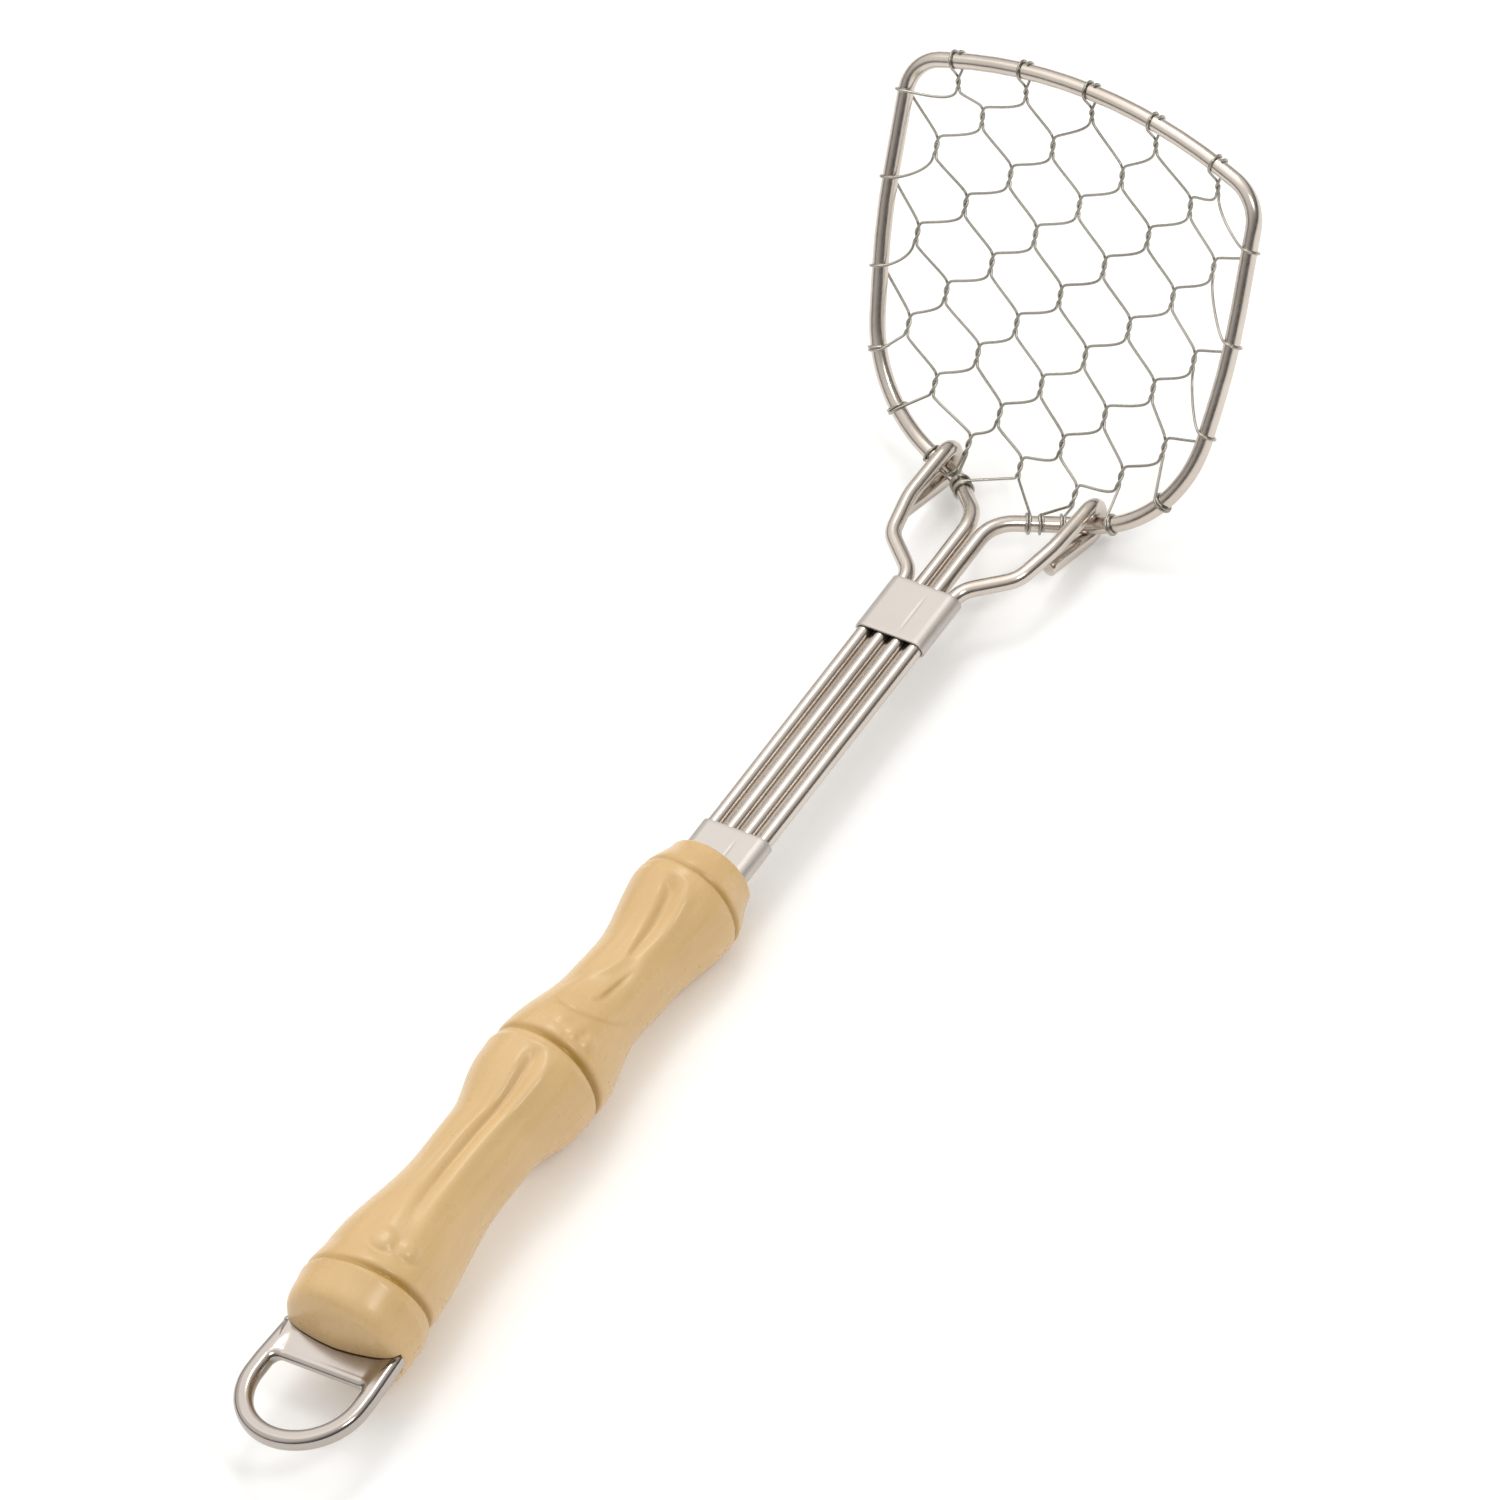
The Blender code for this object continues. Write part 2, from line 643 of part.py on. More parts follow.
    def strand(self, index):
        """One strand's whole route, from its cut end on the front edge to its cut end on the rear wire."""
        last_row = min(LAST_ROW, LAST_ROW - 2 + min(index, STRAND_COUNT - 1 - index))
        side = -1 if index % 2 == 0 else 1
        tail = self.twist(index, 0)
        middle_x = self.twist_place(0, index // 2)[0]
        front = front_station(self.frame, middle_x) + side * TAIL_SPREAD
        points = self.end_wrap(front, side, tail[0], FRONT_WINDING)[::-1] + tail
        for row in range(1, last_row + 1):
            if row % 2 and index in (0, STRAND_COUNT - 1):
                following = self.twist(index, row + 1)[0]
                points += self.side_wrap(-1 if index == 0 else 1, row, points[-1], following)
            else:
                points += self.twist(index, row)
        return points + self.rear_wrap(index, points[-1])


def make_net(frame, home):
    net = Net(frame)
    for index in range(STRAND_COUNT):
        wire(f"net_wire_{index + 1:02d}", net.strand(index), STRAND_RADIUS, 0, home, NET_STEEL)


# ---- the whole tool ----


def corners_of(objects):
    """Lowest and highest corner of the objects' solids in the world."""
    bpy.context.view_layer.update()
    graph = bpy.context.evaluated_depsgraph_get()
    places = []
    for item in objects:
        solid = item.evaluated_get(graph)
        mesh = solid.to_mesh()
        local = np.array([v.co for v in mesh.vertices])
        matrix = np.array(solid.matrix_world)
        places.append(local @ matrix[:3, :3].T + matrix[:3, 3])
        solid.to_mesh_clear()
    everything = np.concatenate(places)
    return everything.min(axis=0), everything.max(axis=0)


def lay_down(parts, cutters, frame):
    """Tips the tool until the grip's bulge and the hooks stand level, and puts the origin under its middle."""
    _, hook_y, hook_z = frame.at(rear_station(frame, BRACE_HALF_SPREAD))
    hook_low = hook_z - HOOK_RADIUS - ROD_RADIUS
    bulge_y = -BULGE_SHARE * GRIP_LENGTH
    bulge_low = eased(GRIP_LINE, BULGE_SHARE) - BULGE_RADIUS
    solids = list(parts.objects)
    rest = bpy.data.objects.new("resting_frame", None)
    parts.objects.link(rest)
    for item in solids + list(cutters.objects):
        item.parent = rest
    rest.rotation_euler.x = -math.atan2(hook_low - bulge_low, hook_y - bulge_y)
    low, high = corners_of(solids)
    rest.location = (-(low[0] + high[0]) / 2, -(low[1] + high[1]) / 2, -low[2])


def main():
    clear_scene()
    parts = collection("wire_net_skimmer")
    cutters = collection("cutters")
    frame = frame_route()
    make_rods(frame, parts)
    make_band("upper_band", UPPER_BAND_Y, parts)
    make_band("lower_band", LOWER_BAND_Y, parts)
    make_grip(parts, cutters)
    make_ring(parts, cutters)
    make_net(frame, parts)
    lay_down(parts, cutters, frame)


main()
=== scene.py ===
"""Looks of a hand wire net skimmer: a dished net of twisted wire on a rod frame, in a bamboo-shaped grip.

Shapes are worked out in the tool's design frame: X across, +Y along the shaft towards the head, +Z out of its
face, Y = 0 at the grip's mouth and Z = 0 in the plane of the four rods. One matrix, REST, lays them down as the
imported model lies. Lengths are in metres, or in millimetres where a name ends in mm or _MM.
"""

import math

import bmesh
import bpy
import numpy as np
from mathutils import Matrix, Vector


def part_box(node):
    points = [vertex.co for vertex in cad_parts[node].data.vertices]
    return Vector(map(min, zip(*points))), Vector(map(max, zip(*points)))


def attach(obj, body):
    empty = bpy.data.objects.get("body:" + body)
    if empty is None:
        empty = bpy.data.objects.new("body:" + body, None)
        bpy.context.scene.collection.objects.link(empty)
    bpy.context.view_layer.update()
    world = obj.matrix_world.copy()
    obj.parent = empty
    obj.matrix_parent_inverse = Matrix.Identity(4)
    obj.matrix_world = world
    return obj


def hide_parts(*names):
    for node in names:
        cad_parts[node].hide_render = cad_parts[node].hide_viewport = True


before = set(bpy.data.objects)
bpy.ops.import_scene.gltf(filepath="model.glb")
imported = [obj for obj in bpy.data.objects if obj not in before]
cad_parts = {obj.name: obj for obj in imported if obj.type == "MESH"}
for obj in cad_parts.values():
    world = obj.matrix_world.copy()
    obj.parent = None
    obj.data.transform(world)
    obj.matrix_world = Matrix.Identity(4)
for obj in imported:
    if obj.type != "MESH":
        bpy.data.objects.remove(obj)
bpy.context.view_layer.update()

# Rods
ROD_RADIUS = 0.0015
ROD_PITCH = 0.0036
ROD_DEPTH = 0.0140
FIT = 0.00012
OUTER_ROD = 1.5 * ROD_PITCH
INNER_ROD = 0.5 * ROD_PITCH

# Head frame, bent in its own sloping plane: x across, v forwards from the rear edge
HEAD_REAR = (0.0, 0.0980, -0.0048)
HEAD_TILT = math.radians(52.0)
HEAD_HALF_WIDTH = 0.0380
HEAD_DEPTH = 0.0764
FRONT_EDGE_RADIUS = 0.1050
FRONT_CORNER_RADIUS = 0.0080
SIDE_SPLAY = math.radians(8.0)
SIDE_BEND_V = 0.0394
SIDE_BEND_RADIUS = 0.1300
REAR_SLOPE = math.radians(18.0)
REAR_CORNER_RADIUS = 0.0270
NECK_BEND_Y = 0.0885
NECK_BEND_RADIUS = 0.0080
NECK_FOOT_X = 0.0136
HEAD_LEAN = math.radians(2.0)

# Braces and their hooks
BRACE_HALF_SPREAD = 0.0158
BRACE_BOW_START = 0.0726
BRACE_ELBOW = (0.0138, 0.0791)
BRACE_STRAIGHT_START = 0.0880
BRACE_BEND_RADIUS = 0.0050
HOOK_RADIUS = 0.00335
HOOK_RETURN = 0.0120
HOOK_CLOSING = math.radians(19.0)
HOOK_SKEW = 0.0012
HOOK_BEND_SHARE = 0.97

# Bands
BAND_LENGTH = 0.0123
BAND_SHEET = 0.00038
BAND_SOFT_EDGE = 0.00012
BAND_RIM = 0.0008
LOWER_BAND_Y = 0.00255
UPPER_BAND_Y = 0.0640
SEAM_X = 0.0017
SEAM_DEPTH = 0.00009
SEAM_HALF_WIDTH = 0.00016
SEAM_REACH = (-0.0036, 0.0028)
SEAM_FADE = 0.0005

# Grip, measured from its mouth
GRIP_LENGTH = 0.1210
BULGE_RADIUS = 0.0127
BULGE_SHARE = 0.925
GRIP_SWELLS = (
    (0.000, 0.0083),
    (0.070, 0.0107),
    (0.205, 0.0084),
    (0.285, 0.0084),
    (0.425, 0.0114),
    (0.475, 0.0114),
    (0.580, 0.0088),
    (0.660, 0.0088),
    (0.872, 0.0118),
    (BULGE_SHARE, BULGE_RADIUS),
)
GRIP_END = ((1.000, BULGE_SHARE), (0.975, 0.970), (0.900, 0.982), (0.660, 0.991), (0.330, 0.997), (0.0, 1.0))
GRIP_LINE = ((0.0, -0.0006), (0.16, -0.0009), (0.38, 0.0014), (0.62, 0.0022), (0.88, 0.0022), (1.0, 0.0006))
GRIP_COLUMNS = 208
GRIP_ROWS = 380
END_CENTRE_RADIUS_MM = 0.35
MOUTH_LIP_MM = 0.7
# The carved detail grows from nothing over the first of these lengths, and fades out over the second stretch
DETAIL_START_MM = 1.5
DETAIL_END_MM = (112.0, 118.0)
DETAIL_GAIN = 1.55
# Hollows this deep, in mm, get the full painted shade of the resin
FULL_HOLLOW_MM = 0.55

# Hanging ring
RING_HALF_WIDTH = 0.0132
RING_SHOULDER = 0.0126
RING_THICKNESS = 0.0033
RING_Z = -0.0004
RING_DROP = 0.0090
RING_EYE_RADIUS = 0.0097
RING_EYE_FLAT = 0.0042
RING_EYE_CORNER = 0.0015
RING_EDGE_ROUND = 0.0013
RING_SEAT = 0.0036
RING_CENTRE_Y = -GRIP_LENGTH - RING_DROP
WEB_RECESS = 0.00055
WEB_MARGIN = 0.0018
WEB_LIP = 0.0016
WEB_WALL = 0.0026
WEB_EYE_WALL = 0.0012
RING_STRAIGHT = 0.0030
TANG_HALF_WIDTH = 0.0050
TANG_LENGTH = 0.0110
TANG_OVERLAP = 0.0010
TANG_SLIMMING = 0.0002

# Net
STRAND_COUNT = 10
STRAND_RADIUS = 0.00026
TWIST_RADIUS = 0.00029
WRAP_RADIUS = ROD_RADIUS + STRAND_RADIUS + 0.00002
CELL_WIDTH = 0.0152
CELL_ROWS = 0.0085
FIRST_ROW_V = 0.0627
LAST_ROW = 8
NARROWED_ROWS = {6: 0.0141, 7: 0.0138}
ROW_DRIFT = -0.0003
ROW_LEAN = math.radians(0.7)
ROW_LEAN_GROWTH = math.radians(0.5)
LAST_ROW_PLACES = {1: (-0.0133, 0.0053), 2: (-0.0025, 0.0047), 3: (0.0103, 0.0041)}
TWIST_LENGTH = 0.0039
NET_SAG = 0.0037
SAG_REACH = 0.0200
TAIL_PITCH = 0.0142
TAIL_LENGTH = 0.0030
TAIL_STANDOFF = 0.0029
TAIL_SPREAD = 0.0005
WRAP_PITCH = 0.00056
FRONT_WINDINGS = {-1: math.radians(300.0), 1: math.radians(135.0)}
REAR_WINDING = math.radians(470.0)
SIDE_ADVANCE = 0.0005
LINK_HANDLES = {-1: 0.0020, 1: 0.0006}
LINK_LANDING = 0.0006
SIDE_HANDLE = 0.0026
SIDE_LANDING = 0.0020
REAR_ENDS = {
    0: (-0.0340, 1),
    1: (-0.0278, 1),
    3: (-0.0106, 1),
    4: (-0.0094, -1),
    5: (0.0068, -1),
    6: (0.0080, 1),
    7: (0.0114, -1),
    8: (0.0198, 1),
    9: (0.0294, 1),
}
RIGHT_WRAP_DROP = 0.0020
HOOK_STRAND = 2
HOOK_STRAND_START = 0.0124
HOOK_STRAND_ASIDE = 0.0020

# Stage. The room's levels are (share of the way, brightness), from its dim side to its bright one and upwards
BRIGHT_SIDE = (-0.45, 0.10, 0.89)
ROOM_LEVELS = ((0.00, 0.20), (0.25, 0.42), (0.50, 0.85), (0.70, 1.00), (1.00, 1.05))
LOW_LEVELS = ((0.00, 0.06), (0.12, 0.12), (0.24, 0.60), (0.38, 0.95), (1.00, 1.00))
WORLD_STRENGTH = 1.00
FLOOR_REACH = 15.0
FLOOR_LEVEL = -0.0001
FLOOR_GLOW = 0.15
FLOOR_SIDES = 96
FLOOR_CURVE_START = 0.9
FLOOR_CURVE_RISE = 0.02
WALL_HEIGHT = 0.7
SOFTBOXES = (
    ("overhead", (-0.35, 0.25, 1.30), 1.30, 3.2, (1.0, 0.995, 0.985)),
    ("key", (-0.13, 0.58, 1.14), 0.32, 2.0, (1.0, 0.995, 0.985)),
    ("highlight", (0.75, -0.03, 0.92), 0.24, 2.2, (1.0, 0.99, 0.97)),
)

# Camera, in the design frame
CAMERA_RIGHT = (0.8138, 0.5467, -0.2136)
CAMERA_UP = (-0.2962, 0.6998, 0.6477)
CAMERA_AIM_Y = 0.00973
CAMERA_SHIFT = (0.001587, 0.01432)
CAMERA_LENS_MM = 1500.0
CAMERA_SENSOR_MM = 36.0
SEEN_WIDTH = 0.26455

ACROSS = np.array((1.0, 0.0, 0.0))
FORWARD = np.array((0.0, math.cos(HEAD_TILT), math.sin(HEAD_TILT)))
FACE = np.cross(ACROSS, FORWARD)


# ---- routes ----


def unit(vector):
    return vector / np.linalg.norm(vector)


def bent(corners, radii, step=math.radians(3.0)):
    """A bent wire's centre line: straight runs, with each inner corner rounded to its own radius."""
    corners = [np.array(c, float) for c in corners]
    points = [corners[0]]
    for before, corner, after, radius in zip(corners, corners[1:], corners[2:], radii):
        arriving = unit(corner - before)
        leaving = unit(after - corner)
        turn = math.acos(float(np.clip(arriving @ leaving, -1.0, 1.0)))
        side = unit(leaving - arriving * (leaving @ arriving))
        centre = corner - arriving * radius * math.tan(turn / 2) + side * radius
        count = max(2, math.ceil(turn / step))
        for k in range(count + 1):
            angle = turn * k / count
            points.append(centre + radius * (arriving * math.sin(angle) - side * math.cos(angle)))
    points.append(corners[-1])
    return np.array(points)


class Route:
    """A centre line, with places on it given by their station: the length along it from its start."""

    def __init__(self, points):
        self.points = np.array(points, float)
        runs = np.linalg.norm(np.diff(self.points, axis=0), axis=1)
        self.stations = np.concatenate(([0.0], np.cumsum(runs)))
        self.length = float(self.stations[-1])

    def at(self, station):
        return np.array([np.interp(station, self.stations, self.points[:, k]) for k in range(3)])

    def tangent(self, station, reach=0.0004):
        return unit(self.at(station + reach) - self.at(station - reach))

    def where(self, direction, value, low, high, samples=1200):
        """The first station from low to high where the line's place along the direction passes the value."""
        tried = np.linspace(low, high, samples)
        beyond = np.array([self.at(s) @ direction for s in tried]) - value
        k = np.nonzero(np.sign(beyond[:-1]) != np.sign(beyond[1:]))[0][0]
        share = beyond[k] / (beyond[k] - beyond[k + 1])
        return float(tried[k] + share * (tried[k + 1] - tried[k]))


def head_point(x, v, lift=0.0):
    """A point of the head's sloping plane, raised by the lift towards its face."""
    return np.array(HEAD_REAR) + x * ACROSS + (v - x * math.tan(HEAD_LEAN)) * FORWARD + lift * FACE


def frame_route():
    """Centre line of the one wire that is both head frame and middle rods."""
    front_angle = math.asin((HEAD_HALF_WIDTH - FRONT_CORNER_RADIUS) / FRONT_EDGE_RADIUS)
    apex_v = HEAD_DEPTH + FRONT_EDGE_RADIUS * (1 / math.cos(front_angle) - 1)
    corner_v = apex_v - HEAD_HALF_WIDTH * math.tan(front_angle)
    splay, slope = math.tan(SIDE_SPLAY), math.tan(REAR_SLOPE)
    rear_x = (HEAD_HALF_WIDTH - splay * (SIDE_BEND_V + slope * NECK_FOOT_X)) / (1 - splay * slope)
    rear_v = slope * (rear_x - NECK_FOOT_X)
    radii = [FRONT_CORNER_RADIUS, SIDE_BEND_RADIUS, REAR_CORNER_RADIUS, NECK_BEND_RADIUS, NECK_BEND_RADIUS]

    def half(side):
        return [
            head_point(side * HEAD_HALF_WIDTH, corner_v),
            head_point(side * HEAD_HALF_WIDTH, SIDE_BEND_V),
            head_point(side * rear_x, rear_v),
            head_point(side * NECK_FOOT_X, 0.0),
            np.array((side * INNER_ROD, NECK_BEND_Y, 0.0)),
            np.array((side * INNER_ROD, -ROD_DEPTH, 0.0)),
        ]

    corners = half(-1)[::-1] + [head_point(0.0, apex_v)] + half(1)
    return Route(bent(corners, radii[::-1] + [FRONT_EDGE_RADIUS] + radii))


def rear_station(frame, x):
    rear_length = frame.length / 2 - HEAD_HALF_WIDTH - HEAD_DEPTH / 2
    if x < 0:
        return frame.where(ACROSS, x, 0.0, rear_length)
    return frame.where(ACROSS, x, frame.length - rear_length, frame.length)


def side_station(frame, side, x, v):
    middle = frame.length / 2
    near, far = 0.9 * HEAD_HALF_WIDTH, HEAD_HALF_WIDTH + HEAD_DEPTH
    ends = sorted((middle + side * near, middle + side * far))
    return frame.where(FORWARD, head_point(x, v) @ FORWARD, *ends)


def front_station(frame, x):
    middle = frame.length / 2
    return frame.where(ACROSS, x, middle - HEAD_HALF_WIDTH, middle + HEAD_HALF_WIDTH)


def brace_route(frame, side):
    """Centre line of one brace, from its rod's end to the hook's cut end under the frame's rear wire."""
    _, held_y, held_z = frame.at(rear_station(frame, side * BRACE_HALF_SPREAD))
    tip_y = held_y + HOOK_RADIUS
    under = held_z - HOOK_RADIUS * math.tan(math.pi / 4 + HOOK_CLOSING / 2)
    rise = (HOOK_RADIUS + HOOK_RETURN) * math.tan(HOOK_CLOSING)
    return_x = BRACE_HALF_SPREAD - side * HOOK_SKEW
    corners = [
        (OUTER_ROD, -ROD_DEPTH, 0.0),
        (OUTER_ROD, BRACE_BOW_START, 0.0),
        (*BRACE_ELBOW, 0.0),
        (BRACE_HALF_SPREAD, BRACE_STRAIGHT_START, 0.0),
        (BRACE_HALF_SPREAD, tip_y, held_z + HOOK_RADIUS),
        (return_x, tip_y, under),
        (return_x, held_y - HOOK_RETURN, under + rise),
    ]
    bend = BRACE_BEND_RADIUS
    hook = HOOK_BEND_SHARE * HOOK_RADIUS
    return Route(bent(corners, [bend, bend, 3 * bend, hook, hook]) * (side, 1.0, 1.0))


# ---- laying the tool down ----


def eased(knots, share):
    """A value eased from knot to knot: level at every (share, value) knot."""
    share = np.asarray(share, float)
    places = np.array([k[0] for k in knots])
    values = np.array([k[1] for k in knots])
    after = np.clip(np.searchsorted(places, share), 1, len(knots) - 1)
    t = np.clip((share - places[after - 1]) / (places[after] - places[after - 1]), 0.0, 1.0)
    return values[after - 1] + (values[after] - values[after - 1]) * t * t * (3 - 2 * t)


def rest_matrix(frame):
    """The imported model's pose: tipped onto the grip and the hooks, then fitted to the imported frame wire."""
    _, hook_y, hook_z = frame.at(rear_station(frame, BRACE_HALF_SPREAD))
    rise = hook_z - HOOK_RADIUS - ROD_RADIUS - (float(eased(GRIP_LINE, BULGE_SHARE)) - BULGE_RADIUS)
    turn = Matrix.Rotation(-math.atan2(rise, hook_y + BULGE_SHARE * GRIP_LENGTH), 4, "X")
    turned = frame.points @ np.array(turn)[:3, :3].T
    own_high = turned.max(axis=0) + ROD_RADIUS
    packed_low, packed_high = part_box("frame_wire")
    middle_x = (packed_low[0] + packed_high[0]) / 2
    return Matrix.Translation((middle_x, packed_high[1] - own_high[1], packed_high[2] - own_high[2])) @ turn


FRAME = frame_route()
REST = rest_matrix(FRAME)


# ---- objects ----


def add_object(name, vertices, faces, material, node, slot_name):
    """A smooth-shaded piece from design-frame vertices, laid down to stand for its CAD node."""
    mesh = bpy.data.meshes.new(name)
    mesh.from_pydata([tuple(v) for v in vertices], [], [tuple(f) for f in faces])
    mesh.transform(REST)
    mesh.update()
    made = bpy.data.objects.new(name, mesh)
    bpy.context.scene.collection.objects.link(made)
    mesh.materials.append(material)
    mesh.shade_smooth()
    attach(made, "root")
    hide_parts(node)
    return made


def smoothed(points, spacing, spread):
    """The line resampled at an even spacing and softened over the spread, its two ends kept."""
    route = Route(points)
    count = max(8, int(route.length / spacing))
    stations = np.linspace(0.0, route.length, count)
    even = np.array([np.interp(stations, route.stations, route.points[:, k]) for k in range(3)]).T
    reach = int(3 * spread / spacing) + 1
    kernel = np.exp(-0.5 * (np.arange(-reach, reach + 1) * spacing / spread) ** 2)
    kernel /= kernel.sum()
    padded = np.concatenate((
        2 * even[0] - even[reach:0:-1],
        even,
        2 * even[-1] - even[-2:-reach - 2:-1],
    ))
    return np.array([np.convolve(padded[:, k], kernel, mode="valid") for k in range(3)]).T


def tube(points, radius, sides, nose):
    """Vertices and faces of a round wire along the points, with a small rounded nose at each cut end."""
    points = np.array(points, float)
    tangents = np.gradient(points, axis=0)
    tangents /= np.linalg.norm(tangents, axis=1)[:, None]
    first = np.cross(tangents[0], (0.31, 0.17, 0.93))
    normals = [unit(first)]
    for tangent in tangents[1:]:
        carried = normals[-1] - tangent * (normals[-1] @ tangent)
        normals.append(unit(carried))
    normals = np.array(normals)
    others = np.cross(tangents, normals)
    rounding = ((0.55, 0.0), (0.85, 0.25), (1.0, 1.0))
    start = [(points[0] + tangents[0] * (nose * f), share) for share, f in rounding]
    stop = [(points[-1] - tangents[-1] * (nose * f), share) for share, f in reversed(rounding)]
    rings = start + [(p, 1.0) for p in points[1:-1]] + stop
    axes = [0, 0, 0] + list(range(1, len(points) - 1)) + [-1, -1, -1]
    angles = np.linspace(0.0, 2 * math.pi, sides, endpoint=False)
    vertices = []
    for (centre, share), k in zip(rings, axes):
        ring = np.cos(angles)[:, None] * normals[k] + np.sin(angles)[:, None] * others[k]
        vertices.extend(centre + radius * share * ring)
    faces = []
    for row in range(len(rings) - 1):
        for k in range(sides):
            a, b = row * sides + k, row * sides + (k + 1) % sides
            faces.append((a, b, b + sides, a + sides))
    last = (len(rings) - 1) * sides
    faces.append(tuple(range(sides))[::-1])
    faces.append(tuple(last + k for k in range(sides)))
    return vertices, faces


# ---- materials ----


def srgb(red, green, blue):
    """Linear colour of an 8-bit sRGB one."""
    linear = [((c / 255 + 0.055) / 1.055) ** 2.4 if c > 10 else c / 255 / 12.92 for c in (red, green, blue)]
    return (*linear, 1.0)


WHITE = (1.0, 1.0, 1.0, 1.0)
DRAWN_SHADE = (0.955, 0.95, 0.945, 1.0)
FIBRE_SHADE = (0.955, 0.945, 0.92, 1.0)
# Painted shade: the darker tone that the grip's resin takes in its grooves and creases
HOLLOW_PAINTED_SHADE = srgb(176, 138, 70)


class Shader:
    """A Principled material with helpers for its procedural detail."""

    def __init__(self, name):
        self.material = bpy.data.materials.new(name)
        self.material.use_nodes = True
        self.nodes = self.material.node_tree.nodes
        self.links = self.material.node_tree.links
        self.main = self.nodes["Principled BSDF"]
        self.place = self.nodes.new("ShaderNodeTexCoord")

    def set(self, name, value):
        self.main.inputs[name].default_value = value

    def noise(self, scale, stretch=(1.0, 1.0, 1.0), detail=3.0, roughness=0.5):
        mapping = self.nodes.new("ShaderNodeMapping")
        mapping.inputs["Scale"].default_value = stretch
        self.links.new(self.place.outputs["Object"], mapping.inputs["Vector"])
        noise = self.nodes.new("ShaderNodeTexNoise")
        noise.inputs["Scale"].default_value = scale
        noise.inputs["Detail"].default_value = detail
        noise.inputs["Roughness"].default_value = roughness
        self.links.new(mapping.outputs["Vector"], noise.inputs["Vector"])
        return noise.outputs["Fac"]

    def attribute(self, name):
        node = self.nodes.new("ShaderNodeAttribute")
        node.attribute_name = name
        return node.outputs["Fac"]

    def ramp(self, factor, stops):
        node = self.nodes.new("ShaderNodeValToRGB")
        ramp = node.color_ramp
        while len(ramp.elements) < len(stops):
            ramp.elements.new(0.5)
        for element, (position, colour) in zip(ramp.elements, stops):
            element.position = position
            element.color = colour
        self.links.new(factor, node.inputs["Fac"])
        return node.outputs["Color"]

    def span(self, factor, low, high, from_low=0.25, from_high=0.75):
        node = self.nodes.new("ShaderNodeMapRange")
        values = {"From Min": from_low, "From Max": from_high, "To Min": low, "To Max": high}
        for name, value in values.items():
            node.inputs[name].default_value = value
        self.links.new(factor, node.inputs["Value"])
        return node.outputs["Result"]

    def mix(self, factor, first, second, blend="MIX"):
        node = self.nodes.new("ShaderNodeMix")
        node.data_type = "RGBA"
        node.blend_type = blend
        for name, value in (("Factor", factor), ("A", first), ("B", second)):
            socket = next(s for s in node.inputs if s.name == name and s.enabled)
            if isinstance(value, bpy.types.NodeSocket):
                self.links.new(value, socket)
            else:
                socket.default_value = value
        return next(s for s in node.outputs if s.enabled)

    def bump(self, height, strength, distance, below=None):
        node = self.nodes.new("ShaderNodeBump")
        node.inputs["Strength"].default_value = strength
        node.inputs["Distance"].default_value = distance
        self.links.new(height, node.inputs["Height"])
        if below is not None:
            self.links.new(below, node.inputs["Normal"])
        return node.outputs["Normal"]

    def feed(self, name, output):
        self.links.new(output, self.main.inputs[name])


def metal(name, light, dark, roughness, streaks, bump):
    """Polished or satin metal: two close tones, streaks drawn along the tool, and uneven gloss."""
    shader = Shader(name)
    shader.set("Metallic", 1.0)
    shader.set("Roughness", roughness[0])
    cloud = shader.noise(55.0, detail=4.0)
    drawn = shader.noise(streaks, stretch=(1.0, 0.06, 1.0), detail=2.0, roughness=0.5)
    tone = shader.ramp(cloud, ((0.30, dark), (0.70, light)))
    fine = shader.ramp(drawn, ((0.25, DRAWN_SHADE), (0.75, WHITE)))
    shader.feed("Base Color", shader.mix(1.0, tone, fine, "MULTIPLY"))
    shader.feed("Roughness", shader.span(drawn, *roughness))
    shader.feed("Normal", shader.bump(drawn, bump, 0.00004))
    return shader.material


def grip_resin():
    """Satin cast resin like peeled bamboo, its colour darkened by painted shade in its hollows, with faint long
    fibres and a soft skin.
    """
    shader = Shader("grip_resin_look")
    shader.set("Roughness", 0.36)
    shader.set("IOR", 1.48)
    cloud = shader.noise(38.0, detail=3.0)
    fibre = shader.noise(900.0, stretch=(1.0, 0.035, 1.0), detail=3.0, roughness=0.55)
    skin = shader.noise(260.0, detail=2.0)
    base = shader.ramp(cloud, ((0.28, srgb(214, 178, 124)), (0.72, srgb(222, 188, 137))))
    grain = shader.ramp(fibre, ((0.30, FIBRE_SHADE), (0.70, WHITE)))
    base = shader.mix(1.0, base, grain, "MULTIPLY")
    # Painted shade: the resin darkens towards this tone by how deep the point lies in a hollow
    base = shader.mix(shader.attribute("hollow"), base, HOLLOW_PAINTED_SHADE)
    shader.feed("Base Color", base)
    shader.feed("Roughness", shader.span(skin, 0.26, 0.31))
    shader.feed("Normal", shader.bump(fibre, 0.015, 0.00004))
    return shader.material


ROD_LOOK = metal("rod_steel_look", srgb(212, 203, 194), srgb(200, 190, 180), (0.20, 0.26), 1300.0, 0.02)
BAND_LOOK = metal("band_steel_look", srgb(206, 200, 194), srgb(199, 193, 187), (0.50, 0.58), 1500.0, 0.03)
NET_LOOK = metal("net_steel_look", srgb(183, 179, 170), srgb(161, 157, 147), (0.24, 0.34), 1800.0, 0.02)
CAST_LOOK = metal("cast_metal_look", srgb(184, 176, 170), srgb(175, 167, 160), (0.15, 0.20), 300.0, 0.01)
RESIN_LOOK = grip_resin()


# ---- rods and bands ----


def window(value, rise, fall, softness):
    """1 between rise and fall and 0 outside them, with soft steps."""
    return 1 / (1 + np.exp(-(value - rise) / softness)) / (1 + np.exp((value - fall) / softness))


